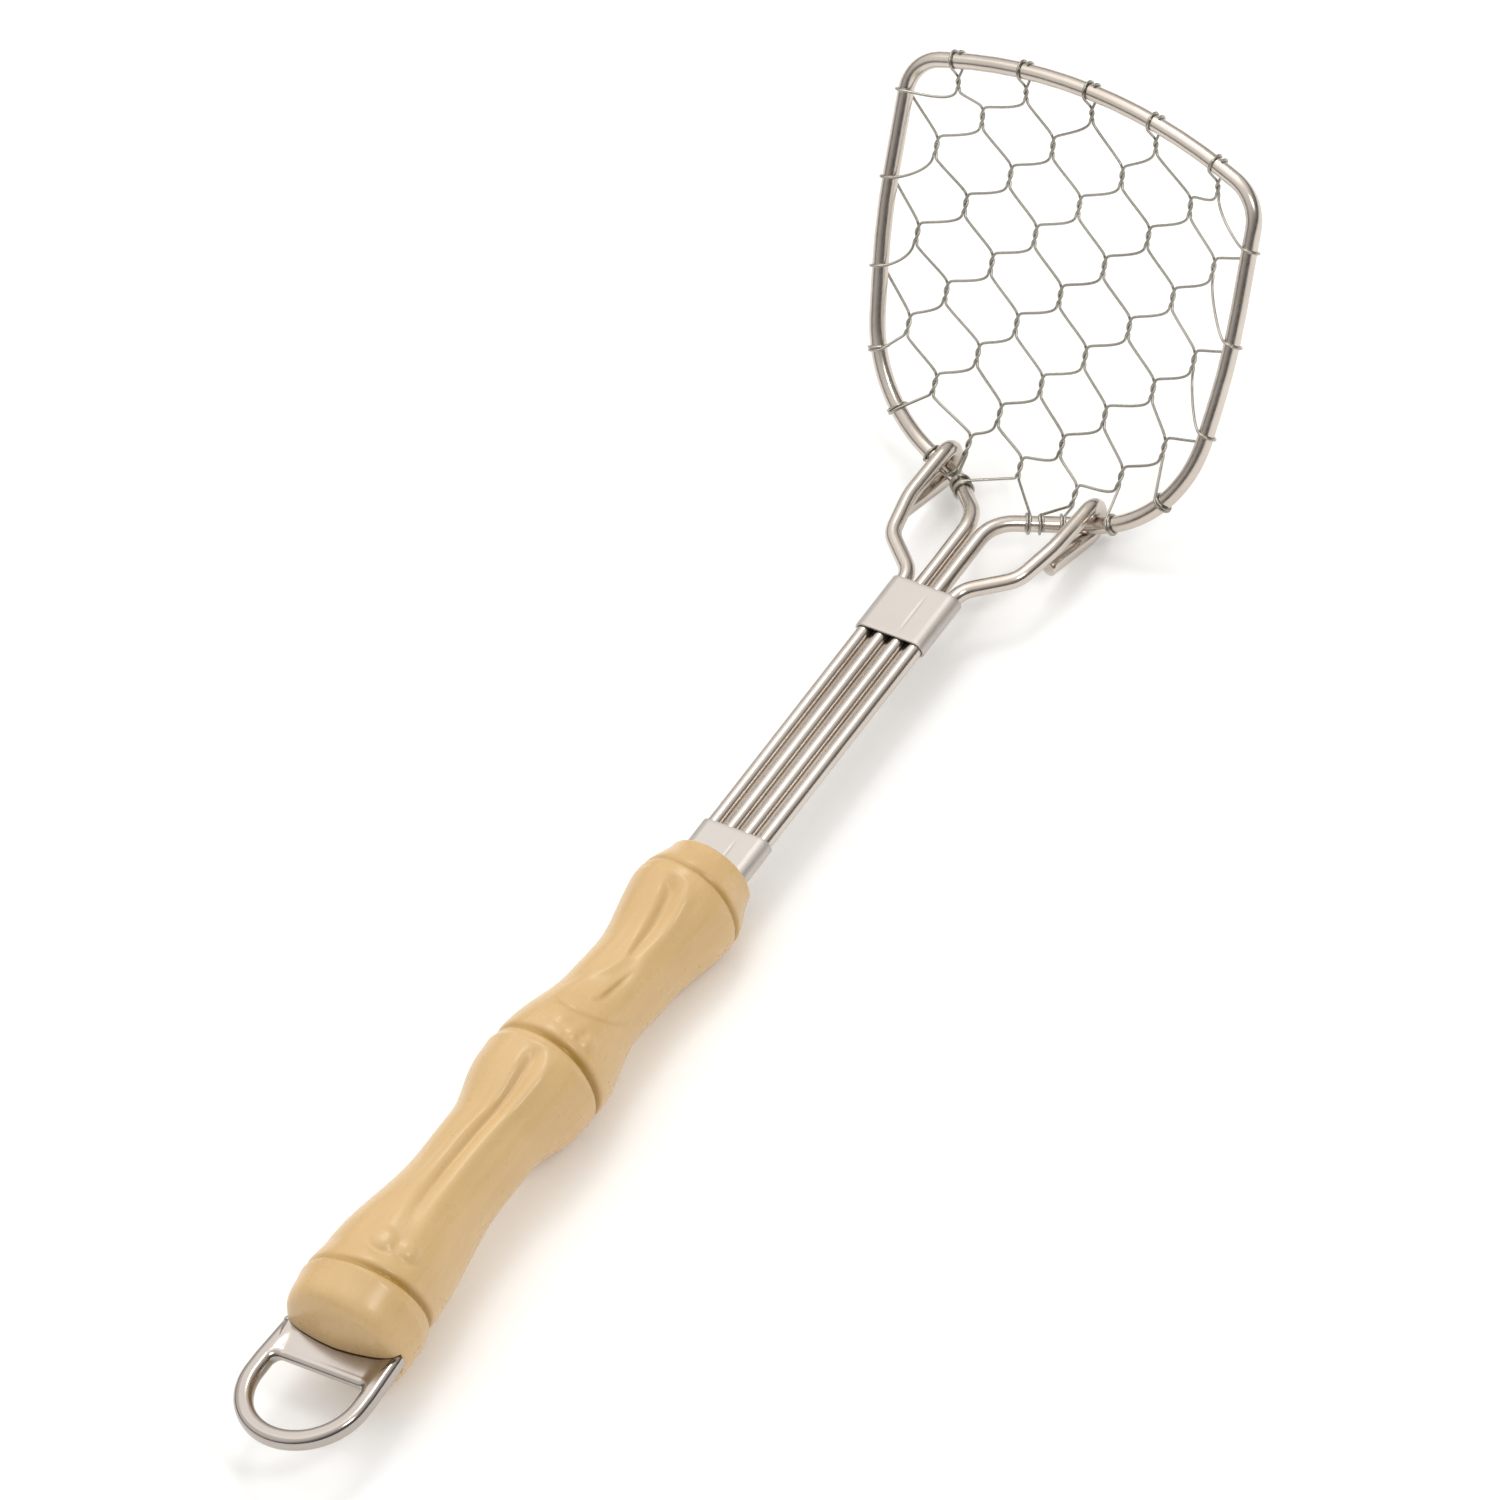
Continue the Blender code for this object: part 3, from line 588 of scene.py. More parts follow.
def add_rods():
    routes = {"frame_wire": FRAME, "brace_left": brace_route(FRAME, -1), "brace_right": brace_route(FRAME, 1)}
    for node, route in routes.items():
        points = smoothed(route.points, 0.0007, 0.0006)
        add_object(node + "_look", *tube(points, ROD_RADIUS, 28, 0.00022), ROD_LOOK, node, "rod_steel")


def right_end(half_width, half_height, steps):
    """The round right end of an oval, from its lowest point to its highest."""
    reach = half_width - half_height
    angles = np.linspace(-math.pi / 2, math.pi / 2, steps)
    return [(reach + half_height * math.cos(a), half_height * math.sin(a)) for a in angles]


def oval(half_width, half_height):
    right = right_end(half_width, half_height, 12)
    return right + [(-x, -y) for x, y in right]


def band_section(half_width, half_height):
    """One wall of the sleeve's cross-section as a closed (x, z) loop, close-set along its flat runs."""
    right = right_end(half_width, half_height, 10)
    reach = half_width - half_height
    upper = [(x, half_height) for x in np.linspace(reach, -reach, 60)[1:-1]]
    half = right + upper
    return np.array(half + [(-x, -z) for x, z in half])


def add_band(node, middle_y):
    """A crimped sheet sleeve with softened edges and a shallow seam on its face."""
    inner_half = (OUTER_ROD + ROD_RADIUS + FIT, ROD_RADIUS + FIT)
    end = BAND_LENGTH / 2
    edge = [end - BAND_SOFT_EDGE, end - 0.3 * BAND_SOFT_EDGE, end]
    between = np.linspace(-end + BAND_RIM, end - BAND_RIM, 30)
    stations = np.concatenate(([-s for s in edge[::-1]], between, edge))
    vertices = []
    for station in stations:
        into_edge = BAND_SOFT_EDGE - min(end - abs(station), BAND_SOFT_EDGE)
        rounding = BAND_SOFT_EDGE - math.sqrt(max(0.0, BAND_SOFT_EDGE**2 - into_edge**2))
        sheet = BAND_SHEET - rounding
        loop = band_section(inner_half[0] + sheet, inner_half[1] + sheet)
        seam = np.exp(-(((loop[:, 0] - SEAM_X) / SEAM_HALF_WIDTH) ** 2)) * (loop[:, 1] > 0)
        loop[:, 1] -= SEAM_DEPTH * seam * window(station, *SEAM_REACH, SEAM_FADE)
        vertices.extend((x, middle_y + station, z) for x, z in loop)
    around = len(vertices) // len(stations)
    outer_count = len(vertices)
    for station in (stations[0], stations[-1]):
        loop = band_section(*inner_half)
        vertices.extend((x, middle_y + station, z) for x, z in loop)
    faces = []
    for row in range(len(stations) - 1):
        for k in range(around):
            a, b = row * around + k, row * around + (k + 1) % around
            faces.append((a, a + around, b + around, b))
    near, far = outer_count, outer_count + around
    top = (len(stations) - 1) * around
    for k in range(around):
        following = (k + 1) % around
        faces.append((k, following, near + following, near + k))
        faces.append((top + following, top + k, far + k, far + following))
        faces.append((near + k, near + following, far + following, far + k))
    made = add_object(node + "_look", vertices, faces, BAND_LOOK, node, "band_steel")
    made.data.set_sharp_from_angle(angle=math.radians(50.0))


# ---- grip ----


def line_value(knots, mm):
    return np.interp(mm, [k[0] for k in knots], [k[1] for k in knots])


def furrow(mm, degrees, radius_mm, course, half_width, height):
    """A long ridge (height above 0) or trough (below 0) following its course, given as (mm, value) knots."""
    aside = np.radians(degrees - line_value(course, mm)) * radius_mm
    return line_value(height, mm) * np.exp(-((aside / line_value(half_width, mm)) ** 2))


def bud(mm, degrees, radius_mm, place, size, height, dimple):
    """A round swelling with a dimpled top and a faint moat on its end side."""
    along = mm - place[0]
    aside = np.radians(degrees - place[1]) * radius_mm
    far = np.sqrt(along**2 + aside**2) / size
    swell = height * np.clip(1 - far**2, 0.0, 1.0) ** 1.3
    hollow = -dimple * np.exp(-((far / 0.42) ** 2))
    moat = -0.40 * height * np.exp(-(((far - 1.12) / 0.20) ** 2)) * np.clip(along / size, 0.0, 1.0)
    return swell + hollow + moat


def ring_groove(mm, place_mm, depth, half_width):
    """A groove round the grip with a steeper wall on its end side."""
    away = mm - place_mm
    width = np.where(away > 0, 0.55 * half_width, half_width)
    return -depth * np.exp(-((away / width) ** 2))


def blurred(field, rows, columns):
    """The field softened by Gaussians of this many rows and columns, round the circle along columns."""
    for axis, spread in ((0, rows), (1, columns)):
        reach = int(3 * spread) + 1
        kernel = np.exp(-0.5 * (np.arange(-reach, reach + 1) / spread) ** 2)
        kernel /= kernel.sum()
        mode = "edge" if axis == 0 else "wrap"
        pad = [(reach, reach) if a == axis else (0, 0) for a in (0, 1)]
        padded = np.pad(field, pad, mode=mode)
        count = field.shape[axis]
        field = sum(w * np.take(padded, range(k, k + count), axis=axis) for k, w in enumerate(kernel))
    return field


def grip_relief(mm, degrees, radius_mm):
    """Height of the carved detail over the turned shape, in mm, as (ridges and buds, narrow hollows)."""
    tilt = np.radians(degrees)
    deepening = 0.45 + 0.55 * window(degrees, 12.0, 150.0, 12.0)
    grooves = ring_groove(mm, 8.2 - 1.4 * np.cos(tilt - 0.17), 0.70 * deepening, 0.60)
    grooves += ring_groove(mm, 53.0 - 1.0 * np.cos(tilt), 1.05 * deepening, 0.75)
    grooves += ring_groove(mm, 109.6 + 2.0 * np.cos(tilt + 0.84), 0.95 * deepening, 0.75)
    scar = ring_groove(mm, 44.2 - 0.0016 * (degrees - 15.0) ** 2, 0.24, 0.45)
    scar *= window(degrees, -12.0, 72.0, 4.0)
    crease = furrow(mm, degrees, radius_mm,
                    ((28, 37), (30, 36), (34, 33), (38, 30), (40, 24)),
                    ((28, 0.35), (40, 0.5)),
                    ((28.5, 0), (30.5, -0.15), (33, -0.38), (37, -0.38), (39, -0.2), (40.2, 0)))
    parts = (
        # Upper segment: a trough between two ridges, which part again below it
        (((10, 6), (13, 12), (16.5, 17), (20, 19), (24, 18.5), (28, 19.5)),
         ((10, 1.2), (13, 1.9), (17, 1.9), (21, 1.4), (24, 0.8), (28, 0.4)),
         ((9.5, 0), (12, -0.75), (17, -0.75), (21, -0.55), (24, -0.42), (26.5, -0.36), (28.5, 0))),
        (((11, 1), (16, 5), (20, 7), (24, 10), (28, 17), (32, 9), (36, -5), (41, -16)),
         ((11, 1.3), (41, 1.1)),
         ((10.5, 0), (14, 0.38), (20, 0.34), (25, 0.24), (29, 0.28), (33, 0.26), (37, 0.16), (42, 0))),
        (((10, 27), (13, 29), (20, 32.5), (26, 34), (30, 41), (38, 47)),
         ((10, 1.4), (38, 1.3)),
         ((9.5, 0), (13, 0.38), (20, 0.38), (26, 0.30), (31, 0.24), (39, 0))),
        # Lower segment: one long trough between a narrow and a broad ridge
        (((55, 15), (57, 17), (60, 19), (65, 20.5), (69, 19), (75, 16), (83, 14), (90, 15.5), (98, 20)),
         ((55, 1.0), (58, 1.7), (62, 1.6), (68, 1.15), (76, 0.95), (84, 0.85), (98, 0.7)),
         ((54.6, 0), (57.5, -0.65), (62, -0.75), (70, -0.58), (84, -0.50), (92, -0.30), (99, 0))),
        (((56, 4), (61, 7.5), (65, 9), (70, 5.5), (76, 0), (82, -2), (90, 0), (98, 7), (103, 12)),
         ((56, 1.2), (103, 1.4)),
         ((55.5, 0), (60, 0.28), (66, 0.28), (78, 0.38), (85, 0.34), (95, 0.22), (101, 0.10), (104, 0))),
        (((55, 28), (60, 32), (66, 31), (73, 28.5), (81, 28), (90, 31), (98, 35), (103, 38)),
         ((55, 1.6), (103, 1.5)),
         ((54.6, 0), (58, 0.50), (70, 0.54), (82, 0.44), (92, 0.26), (100, 0.12), (104, 0))),
    )
    relief = DETAIL_GAIN * sum(furrow(mm, degrees, radius_mm, *part) for part in parts)
    for place, height in ((54.4, 0.34), (9.6, 0.16), (111.6, 0.20)):
        lip = height * np.clip(1 - (mm - place) / 5.0, 0.0, 1.0) ** 2 * (mm > place - 0.4)
        relief += lip * (1 + np.cos(tilt)) / 2
    relief += bud(mm, degrees, radius_mm, (47.9, 48), 1.9, 0.50, 0.10)
    relief += bud(mm, degrees, radius_mm, (48.6, 31), 1.4, 0.36, 0.0)
    relief -= 0.50 * np.exp(-((mm - 47.3) ** 2 + (np.radians(degrees - 41) * radius_mm) ** 2) / 0.42)
    relief += bud(mm, degrees, radius_mm, (46.4, 12), 1.9, 0.30, 0.12)
    relief += bud(mm, degrees, radius_mm, (103.6, 13), 2.7, 0.75, 0.28)
    relief += bud(mm, degrees, radius_mm, (102.9, 38), 2.3, 0.72, 0.24)
    relief += 0.10 * np.sin(mm / 7.1 + 1.3) * np.cos(2 * tilt + 0.6)
    relief += 0.07 * np.sin(mm / 4.3) * np.cos(3 * tilt + mm / 17)
    return relief, grooves + scar + crease


def grip_profile_mm():
    """(place along the grip, radius), both in millimetres: the mouth's round lip, the side, then the end."""
    turn = np.linspace(0.0, math.pi / 2, 6)
    mouth = float(eased(GRIP_SWELLS, MOUTH_LIP_MM / 1000 / GRIP_LENGTH)) * 1000
    lip = np.column_stack((MOUTH_LIP_MM * (1 - np.cos(turn)), mouth - MOUTH_LIP_MM * (1 - np.sin(turn))))
    share = np.linspace(0.0, BULGE_SHARE, GRIP_ROWS)
    side = np.column_stack((share * GRIP_LENGTH, eased(GRIP_SWELLS, share))) * 1000
    corners = [(GRIP_LENGTH * 1000 * place, BULGE_RADIUS * 1000 * radius, 0.0) for radius, place in GRIP_END]
    end = smoothed(corners, 0.3, 0.9)[1:, :2]
    kept = (lip, side[side[:, 0] > MOUTH_LIP_MM], end[end[:, 1] > END_CENTRE_RADIUS_MM])
    return np.vstack(kept).T


def add_grip():
    """The grip, turned about its crooked line, with its carved detail and its sockets cut."""
    places, radii = grip_profile_mm()
    columns = GRIP_COLUMNS
    degrees = np.linspace(-180.0, 180.0, columns, endpoint=False)
    mm = np.repeat(places[:, None], columns, axis=1)
    angle = np.repeat(degrees[None, :], len(places), axis=0)
    base = np.repeat(radii[:, None], columns, axis=1)
    relief, hollows = grip_relief(mm, angle, base)
    fade_from, fade_to = DETAIL_END_MM
    end_fade = 1 - np.clip((mm - fade_from) / (fade_to - fade_from), 0.0, 1.0)
    start_fade = np.clip(mm / DETAIL_START_MM, 0.0, 1.0)
    surface = base + blurred(relief * end_fade * start_fade, 1.0, 1.0) + blurred(hollows * end_fade, 0.6, 0.8)
    tilt = np.radians(angle)
    line = eased(GRIP_LINE, np.clip(mm / 1000 / GRIP_LENGTH, 0.0, 1.0)) * 1000
    x = surface * np.sin(tilt)
    z = surface * np.cos(tilt) + line
    grid = np.stack((x, -mm, z), axis=-1).reshape(-1, 3) / 1000
    rows = len(places)
    mouth_z, end_z = float(line[0, 0]) / 1000, float(line[-1, 0]) / 1000
    vertices = list(grid) + [(0.0, 0.0, mouth_z), (0.0, -GRIP_LENGTH, end_z)]
    faces = []
    for row in range(rows - 1):
        for k in range(columns):
            a, b = row * columns + k, row * columns + (k + 1) % columns
            faces.append((a, b, b + columns, a + columns))
    mouth_centre, end_centre = rows * columns, rows * columns + 1
    for k in range(columns):
        following = (k + 1) % columns
        faces.append((mouth_centre, following, k))
        last = (rows - 1) * columns
        faces.append((end_centre, last + k, last + following))
    made = add_object("handle_grip_look", vertices, faces, RESIN_LOOK, "handle_grip", "grip_resin")
    # Painted shade: how deep each point lies in a hollow, kept as the attribute that darkens the resin's colour
    # there
    depth = np.clip(-blurred(hollows, 1.2, 1.2) / FULL_HOLLOW_MM, 0.0, 1.0) * end_fade
    shade = made.data.attributes.new("hollow", "FLOAT", "POINT")
    shade.data.foreach_set("value", np.append(depth.reshape(-1), (0.0, 0.0)).astype(np.float32))
    carve(made, grip_tools())


def slab(outline, low, high, axis):
    """Vertices and faces of an outline extruded along Y or Z."""
    count = len(outline)
    if axis == "Z":
        vertices = [(a, b, low) for a, b in outline] + [(a, b, high) for a, b in outline]
    else:
        vertices = [(a, low, b) for a, b in outline] + [(a, high, b) for a, b in outline]
    faces = [tuple(range(count)), tuple(range(2 * count - 1, count - 1, -1))]
    for k in range(count):
        following = (k + 1) % count
        faces.append((following, k, k + count, following + count))
    return vertices, faces


def grip_tools():
    """The band's and the rods' sockets in the mouth, and the ring plate's slot in the end."""
    band_end = BAND_LENGTH / 2 - LOWER_BAND_Y
    beyond = 0.0030
    for room, depth in ((BAND_SHEET + 2 * FIT, band_end + FIT), (FIT, ROD_DEPTH + FIT)):
        yield slab(oval(OUTER_ROD + ROD_RADIUS + room, ROD_RADIUS + room), -depth, beyond, "Y")
    seat = RING_SEAT - GRIP_LENGTH + FIT
    wide, narrow = RING_HALF_WIDTH + FIT, TANG_HALF_WIDTH + FIT
    right = [(wide, -GRIP_LENGTH - beyond), (wide, seat), (narrow, seat), (narrow, seat + TANG_LENGTH)]
    outline = right + [(-x, y) for x, y in reversed(right)]
    half = RING_THICKNESS / 2 + FIT
    yield slab(outline, RING_Z - half, RING_Z + half, "Z")


def carve(piece, tools):
    """Cuts the tools' solids from the piece and keeps the result as its mesh."""
    helpers = []
    for vertices, faces in tools:
        mesh = bpy.data.meshes.new("tool")
        mesh.from_pydata(vertices, [], faces)
        mesh.transform(REST)
        shape = bmesh.new()
        shape.from_mesh(mesh)
        bmesh.ops.recalc_face_normals(shape, faces=shape.faces)
        shape.to_mesh(mesh)
        shape.free()
        helper = bpy.data.objects.new("tool", mesh)
        bpy.context.scene.collection.objects.link(helper)
        step = piece.modifiers.new("cut", "BOOLEAN")
        step.operation = "DIFFERENCE"
        step.solver = "EXACT"
        step.object = helper
        helpers.append(helper)
    bpy.context.view_layer.update()
    graph = bpy.context.evaluated_depsgraph_get()
    cut = bpy.data.meshes.new_from_object(piece.evaluated_get(graph))
    piece.modifiers.clear()
    piece.data = cut
    for helper in helpers:
        bpy.data.objects.remove(helper)
    piece.data.set_sharp_from_angle(angle=math.radians(48.0))


# ---- ring ----


def arc(centre, radius, start, end, count):
    angles = np.radians(np.linspace(start, end, count))
    return np.column_stack((centre[0] + radius * np.cos(angles), centre[1] + radius * np.sin(angles)))


def walked(points, count):
    """The open line through the points as this many evenly spaced ones."""
    points = np.asarray(points, float)
    runs = np.concatenate(([0.0], np.cumsum(np.linalg.norm(np.diff(points, axis=0), axis=1))))
    stations = np.linspace(0.0, runs[-1], count)
    return np.column_stack([np.interp(stations, runs, points[:, k]) for k in (0, 1)])


def ring_loops():
    """Matching loops of the outer outline and the eye about the arc's centre, anticlockwise from the left."""
    top = RING_SEAT + RING_DROP
    eye, corner, flat = RING_EYE_RADIUS, RING_EYE_CORNER, RING_EYE_FLAT
    counts = (130, 26, 70)
    shoulder = [(RING_HALF_WIDTH, 0.0), (RING_HALF_WIDTH, RING_STRAIGHT), (RING_SHOULDER, top)]
    outer_side = walked(shoulder, counts[1])
    outer_top = walked([(RING_SHOULDER, top), (-RING_SHOULDER, top)], counts[2])
    bend = arc((eye - corner, flat - corner), corner, 0, 90, 17)
    inner_side = walked(np.vstack(([(eye, 0.0)], bend[:9])), counts[1])
    inner_top = walked(np.vstack((bend[8:], bend[::-1][:9] * (-1.0, 1.0))), counts[2])
    mirror = np.array((-1.0, 1.0))
    loops = []
    for low, side, across in ((RING_HALF_WIDTH, outer_side, outer_top), (eye, inner_side, inner_top)):
        bottom = arc((0.0, 0.0), low, 180, 360, counts[0])
        loops.append(np.vstack((bottom[:-1], side[:-1], across[:-1], (side[::-1] * mirror)[:-1])))
    return loops


def loop_normals(loop):
    """Unit normals of a closed anticlockwise loop, pointing out of it."""
    along = np.roll(loop, -1, axis=0) - np.roll(loop, 1, axis=0)
    normals = np.column_stack((along[:, 1], -along[:, 0]))
    return normals / np.linalg.norm(normals, axis=1)[:, None]


def ring_rows(outer, inner):
    """Rows of (plan points, share of the edge's drop) from the outer wall over the top to the eye's wall."""
    turns = np.linspace(0.0, math.pi / 2, 7)
    rows = []
    outward, eyeward = loop_normals(outer), loop_normals(inner)
    for turn in turns:
        inset = RING_EDGE_ROUND * (1 - math.cos(turn))
        rows.append((outer - outward * inset, 1 - math.sin(turn)))
    near, far = outer - outward * RING_EDGE_ROUND, inner + eyeward * RING_EDGE_ROUND
    for share in np.linspace(0.0, 1.0, 30)[1:-1]:
        rows.append((near + (far - near) * share, 0.0))
    for turn in turns[::-1]:
        inset = RING_EDGE_ROUND * (1 - math.cos(turn))
        rows.append((inner + eyeward * inset, 1 - math.sin(turn)))
    return rows


def web_depth(plan):
    """How far the web lies below the face: deepest along the crossbar, rising to the grip."""
    low, high = RING_EYE_FLAT + WEB_LIP, RING_SEAT + RING_DROP
    inward = np.clip((RING_SHOULDER - WEB_MARGIN - np.abs(plan[:, 0])) / WEB_WALL, 0.0, 1.0)
    above_eye = np.clip((plan[:, 1] - RING_EYE_FLAT) / WEB_EYE_WALL + 1.0, 0.0, 1.0)
    rise = np.clip((high - plan[:, 1]) / (high - low), 0.0, 1.0)
    smooth = inward * inward * (3 - 2 * inward)
    return WEB_RECESS * smooth * above_eye * rise


def add_ring():
    """The cast hanging ring: a plate with a D-shaped eye, a sunken web and a tang."""
    outer, inner = ring_loops()
    half = RING_THICKNESS / 2
    around = len(outer)
    vertices = []
    rows = ring_rows(outer, inner)
    for side in (1, -1):
        for plan, drop in (rows if side > 0 else rows[::-1]):
            height = (half - web_depth(plan)) * (1 - drop * RING_EDGE_ROUND / half)
            vertices.extend((x, RING_CENTRE_Y + y, RING_Z + side * h) for (x, y), h in zip(plan, height))
    count = len(vertices) // around
    faces = []
    for row in range(count):
        for k in range(around):
            a, b = row * around + k, row * around + (k + 1) % around
            c, d = ((row + 1) % count) * around + (k + 1) % around, ((row + 1) % count) * around + k
            faces.append((a, b, c, d))
    seat, slim = RING_SEAT - GRIP_LENGTH, half - TANG_SLIMMING
    tang = [(TANG_HALF_WIDTH, seat - TANG_OVERLAP), (TANG_HALF_WIDTH, seat + TANG_LENGTH)]
    tang += [(-x, y) for x, y in reversed(tang)]
    more, more_faces = slab(tang, RING_Z - slim, RING_Z + slim, "Z")
    base = len(vertices)
    vertices += more
    faces += [tuple(base + k for k in face[::-1]) for face in more_faces]
    made = add_object("hanging_ring_look", vertices, faces, CAST_LOOK, "hanging_ring", "cast_metal")
    made.data.set_sharp_from_angle(angle=math.radians(55.0))


# ---- net ----


def bezier(start, start_handle, end_handle, end, count):
    t = np.linspace(0.0, 1.0, count)[:, None]
    from_start = (1 - t) ** 3 * start + 3 * (1 - t) ** 2 * t * start_handle
    return list(from_start + 3 * (1 - t) * t**2 * end_handle + t**3 * end)


class Net:
    """The twisted net: where its twists stand in the head's plane, how it sags and how its strands end."""

    def __init__(self, frame):
        self.frame = frame
        ends = [rear_station(frame, side * (INNER_ROD + ROD_RADIUS)) for side in (-1, 1)]
        self.rim = np.array([frame.at(s) for s in np.linspace(*ends, 500)])

    def point(self, x, v, across=0.0, lift=0.0):
        """A point of the sagging net. The sag grows from nothing at the frame to its full depth inside."""
        flat = head_point(x, v)
        room = min(1.0, float(np.linalg.norm(self.rim - flat, axis=1).min()) / SAG_REACH)
        sag = NET_SAG * (1 - (1 - room) ** 2)
        return flat + across * ACROSS + (lift - sag) * FACE

    def twist_place(self, row, pair):
        """The middle (x, v) of a twist. Row 0 is the short tails by the front edge."""
        if row == 0:
            x = (pair - 2) * TAIL_PITCH
            front = (self.frame.at(front_station(self.frame, x)) - head_point(x, 0.0)) @ FORWARD
            return x, front - TAIL_STANDOFF - TAIL_LENGTH / 2
        if row == LAST_ROW:
            return LAST_ROW_PLACES[pair]
        offset = 2 if row % 2 == 0 else 1.5
        x = row * ROW_DRIFT + (pair - offset) * NARROWED_ROWS.get(row, CELL_WIDTH)
        lean = ROW_LEAN + row * ROW_LEAN_GROWTH
        return x, FIRST_ROW_V - (row - 1) * CELL_ROWS - x * math.tan(lean)

    def twist(self, strand, row):
        """One strand's full turn round its partner, from the front to the rear."""
        pair = (strand - row % 2) // 2
        start = math.pi if (strand - row % 2) % 2 == 0 else 0.0
        x, v = self.twist_place(row, pair)
        length = TAIL_LENGTH if row == 0 else TWIST_LENGTH
        points = []
        for share in np.linspace(0.0, 1.0, 17):
            angle = start + 2 * math.pi * share
            across, lift = TWIST_RADIUS * math.cos(angle), TWIST_RADIUS * math.sin(angle)
            points.append(self.point(x, v + length * (0.5 - share), across, lift))
        return points

    def link(self, start, end):
        """The run from one twist to the next, which leaves to the left in a wider bend than to the right."""
        direction = -1 if end[0] < start[0] else 1
        return bezier(start, start - FORWARD * LINK_HANDLES[direction], end + FORWARD * LINK_LANDING, end, 24)

    def wound(self, knots, toward):
        """Points wound round the frame wire through (station, angle) knots.

        Angle 0 faces the point that the strand comes from, and a quarter turn further is over the face side.
        """
        points = []
        for (station_a, angle_a), (station_b, angle_b) in zip(knots, knots[1:]):
            count = max(1, math.ceil(abs(angle_b - angle_a) / math.radians(9.0)))
            for k in range(count + 1):
                station = station_a + (station_b - station_a) * k / count
                angle = angle_a + (angle_b - angle_a) * k / count
                centre, axis = self.frame.at(station), self.frame.tangent(station)
                aside = toward - centre
                inward = unit(aside - axis * (aside @ axis))
                over = np.cross(axis, inward)
                over *= math.copysign(1.0, over @ FACE)
                point = centre + WRAP_RADIUS * (inward * math.cos(angle) + over * math.sin(angle))
                if not points or np.linalg.norm(point - points[-1]) > STRAND_RADIUS / 4:
                    points.append(point)
        return points

    def arrival(self, station, start):
        """The angle at which a straight run from the start touches its winding."""
        axis = self.frame.tangent(station)
        aside = start - self.frame.at(station)
        distance = float(np.linalg.norm(aside - axis * (aside @ axis)))
        return math.acos(min(0.95, WRAP_RADIUS / distance))

    def end_wrap(self, station, direction, start, winding, sense=1):
        """A strand's last winding, which advances in the direction. Sense 1 goes over the face first."""
        angle = sense * self.arrival(station, start)
        last = station + direction * WRAP_PITCH * winding / (2 * math.pi)
        return self.wound([(station, angle), (last, angle + sense * winding)], start)

    def side_wrap(self, side, row, start, leaving_to):
        """An edge strand's single turn round the rim's side, on its way to its next twist."""
        pair = -1 if side < 0 else STRAND_COUNT // 2 - 1
        x, v = self.twist_place(row, pair)
        station = side_station(self.frame, side, x, v - (RIGHT_WRAP_DROP if side > 0 else 0.0))
        step = side * SIDE_ADVANCE
        angle_in = self.arrival(station - step, start)
        angle_out = 2 * math.pi - self.arrival(station + step, leaving_to)
        return self.wound([(station - step, angle_in), (station + step, angle_out)], (start + leaving_to) / 2)

    def hook_wrap(self, start):
        """The strand by the left hook: it passes behind the rim from one side of the hook to the other."""
        near_x = BRACE_HALF_SPREAD - HOOK_STRAND_ASIDE
        far_x = BRACE_HALF_SPREAD + HOOK_SKEW + HOOK_STRAND_ASIDE
        first, near, far = (rear_station(self.frame, -x) for x in (HOOK_STRAND_START, near_x, far_x))
        angle = self.arrival(first, start)
        behind = math.pi - HEAD_TILT
        knots = [(first, angle), (near, behind), (far, behind), (far + WRAP_PITCH, angle + REAR_WINDING)]
        return self.wound(knots, start)

    def rear_wrap(self, strand, start):
        """A strand's end winding on the rim's rear run or its necks."""
        if strand == HOOK_STRAND:
            return self.hook_wrap(start)
        x, outward = REAR_ENDS[strand]
        direction = outward * (1 if x < 0 else -1)
        return self.end_wrap(rear_station(self.frame, x), direction, start, REAR_WINDING)

    def strand(self, index):
        """One strand's whole route, from its cut end on the front edge to its cut end on the rear wire."""
        last_row = min(LAST_ROW, LAST_ROW - 2 + min(index, STRAND_COUNT - 1 - index))
        side = -1 if index % 2 == 0 else 1
        tail = self.twist(index, 0)
        middle_x = self.twist_place(0, index // 2)[0]
        front = front_station(self.frame, middle_x) + side * TAIL_SPREAD
        points = self.end_wrap(front, side, tail[0], FRONT_WINDINGS[side], -side)[::-1] + tail
        for row in range(1, last_row + 1):
            if row % 2 and index in (0, STRAND_COUNT - 1):
                following = self.twist(index, row + 1)[0]
                wrap = self.side_wrap(-1 if index == 0 else 1, row, points[-1], following)
                landing = unit(wrap[0] - wrap[1]) * SIDE_LANDING
                handle = points[-1] - FORWARD * SIDE_HANDLE
                points += bezier(points[-1], handle, wrap[0] + landing, wrap[0], 16)[1:-1] + wrap
            else:
                run = self.twist(index, row)
                points += self.link(points[-1], run[0])[1:-1] + run
        return points + self.rear_wrap(index, points[-1])


def add_net():
    net = Net(FRAME)
    for index in range(STRAND_COUNT):
        node = f"net_wire_{index + 1:02d}"
        points = smoothed(net.strand(index), 0.00018, 0.00022)
        add_object(node + "_look", *tube(points, STRAND_RADIUS, 10, 0.00008), NET_LOOK, node, "net_steel")


# ---- stage, light and camera ----


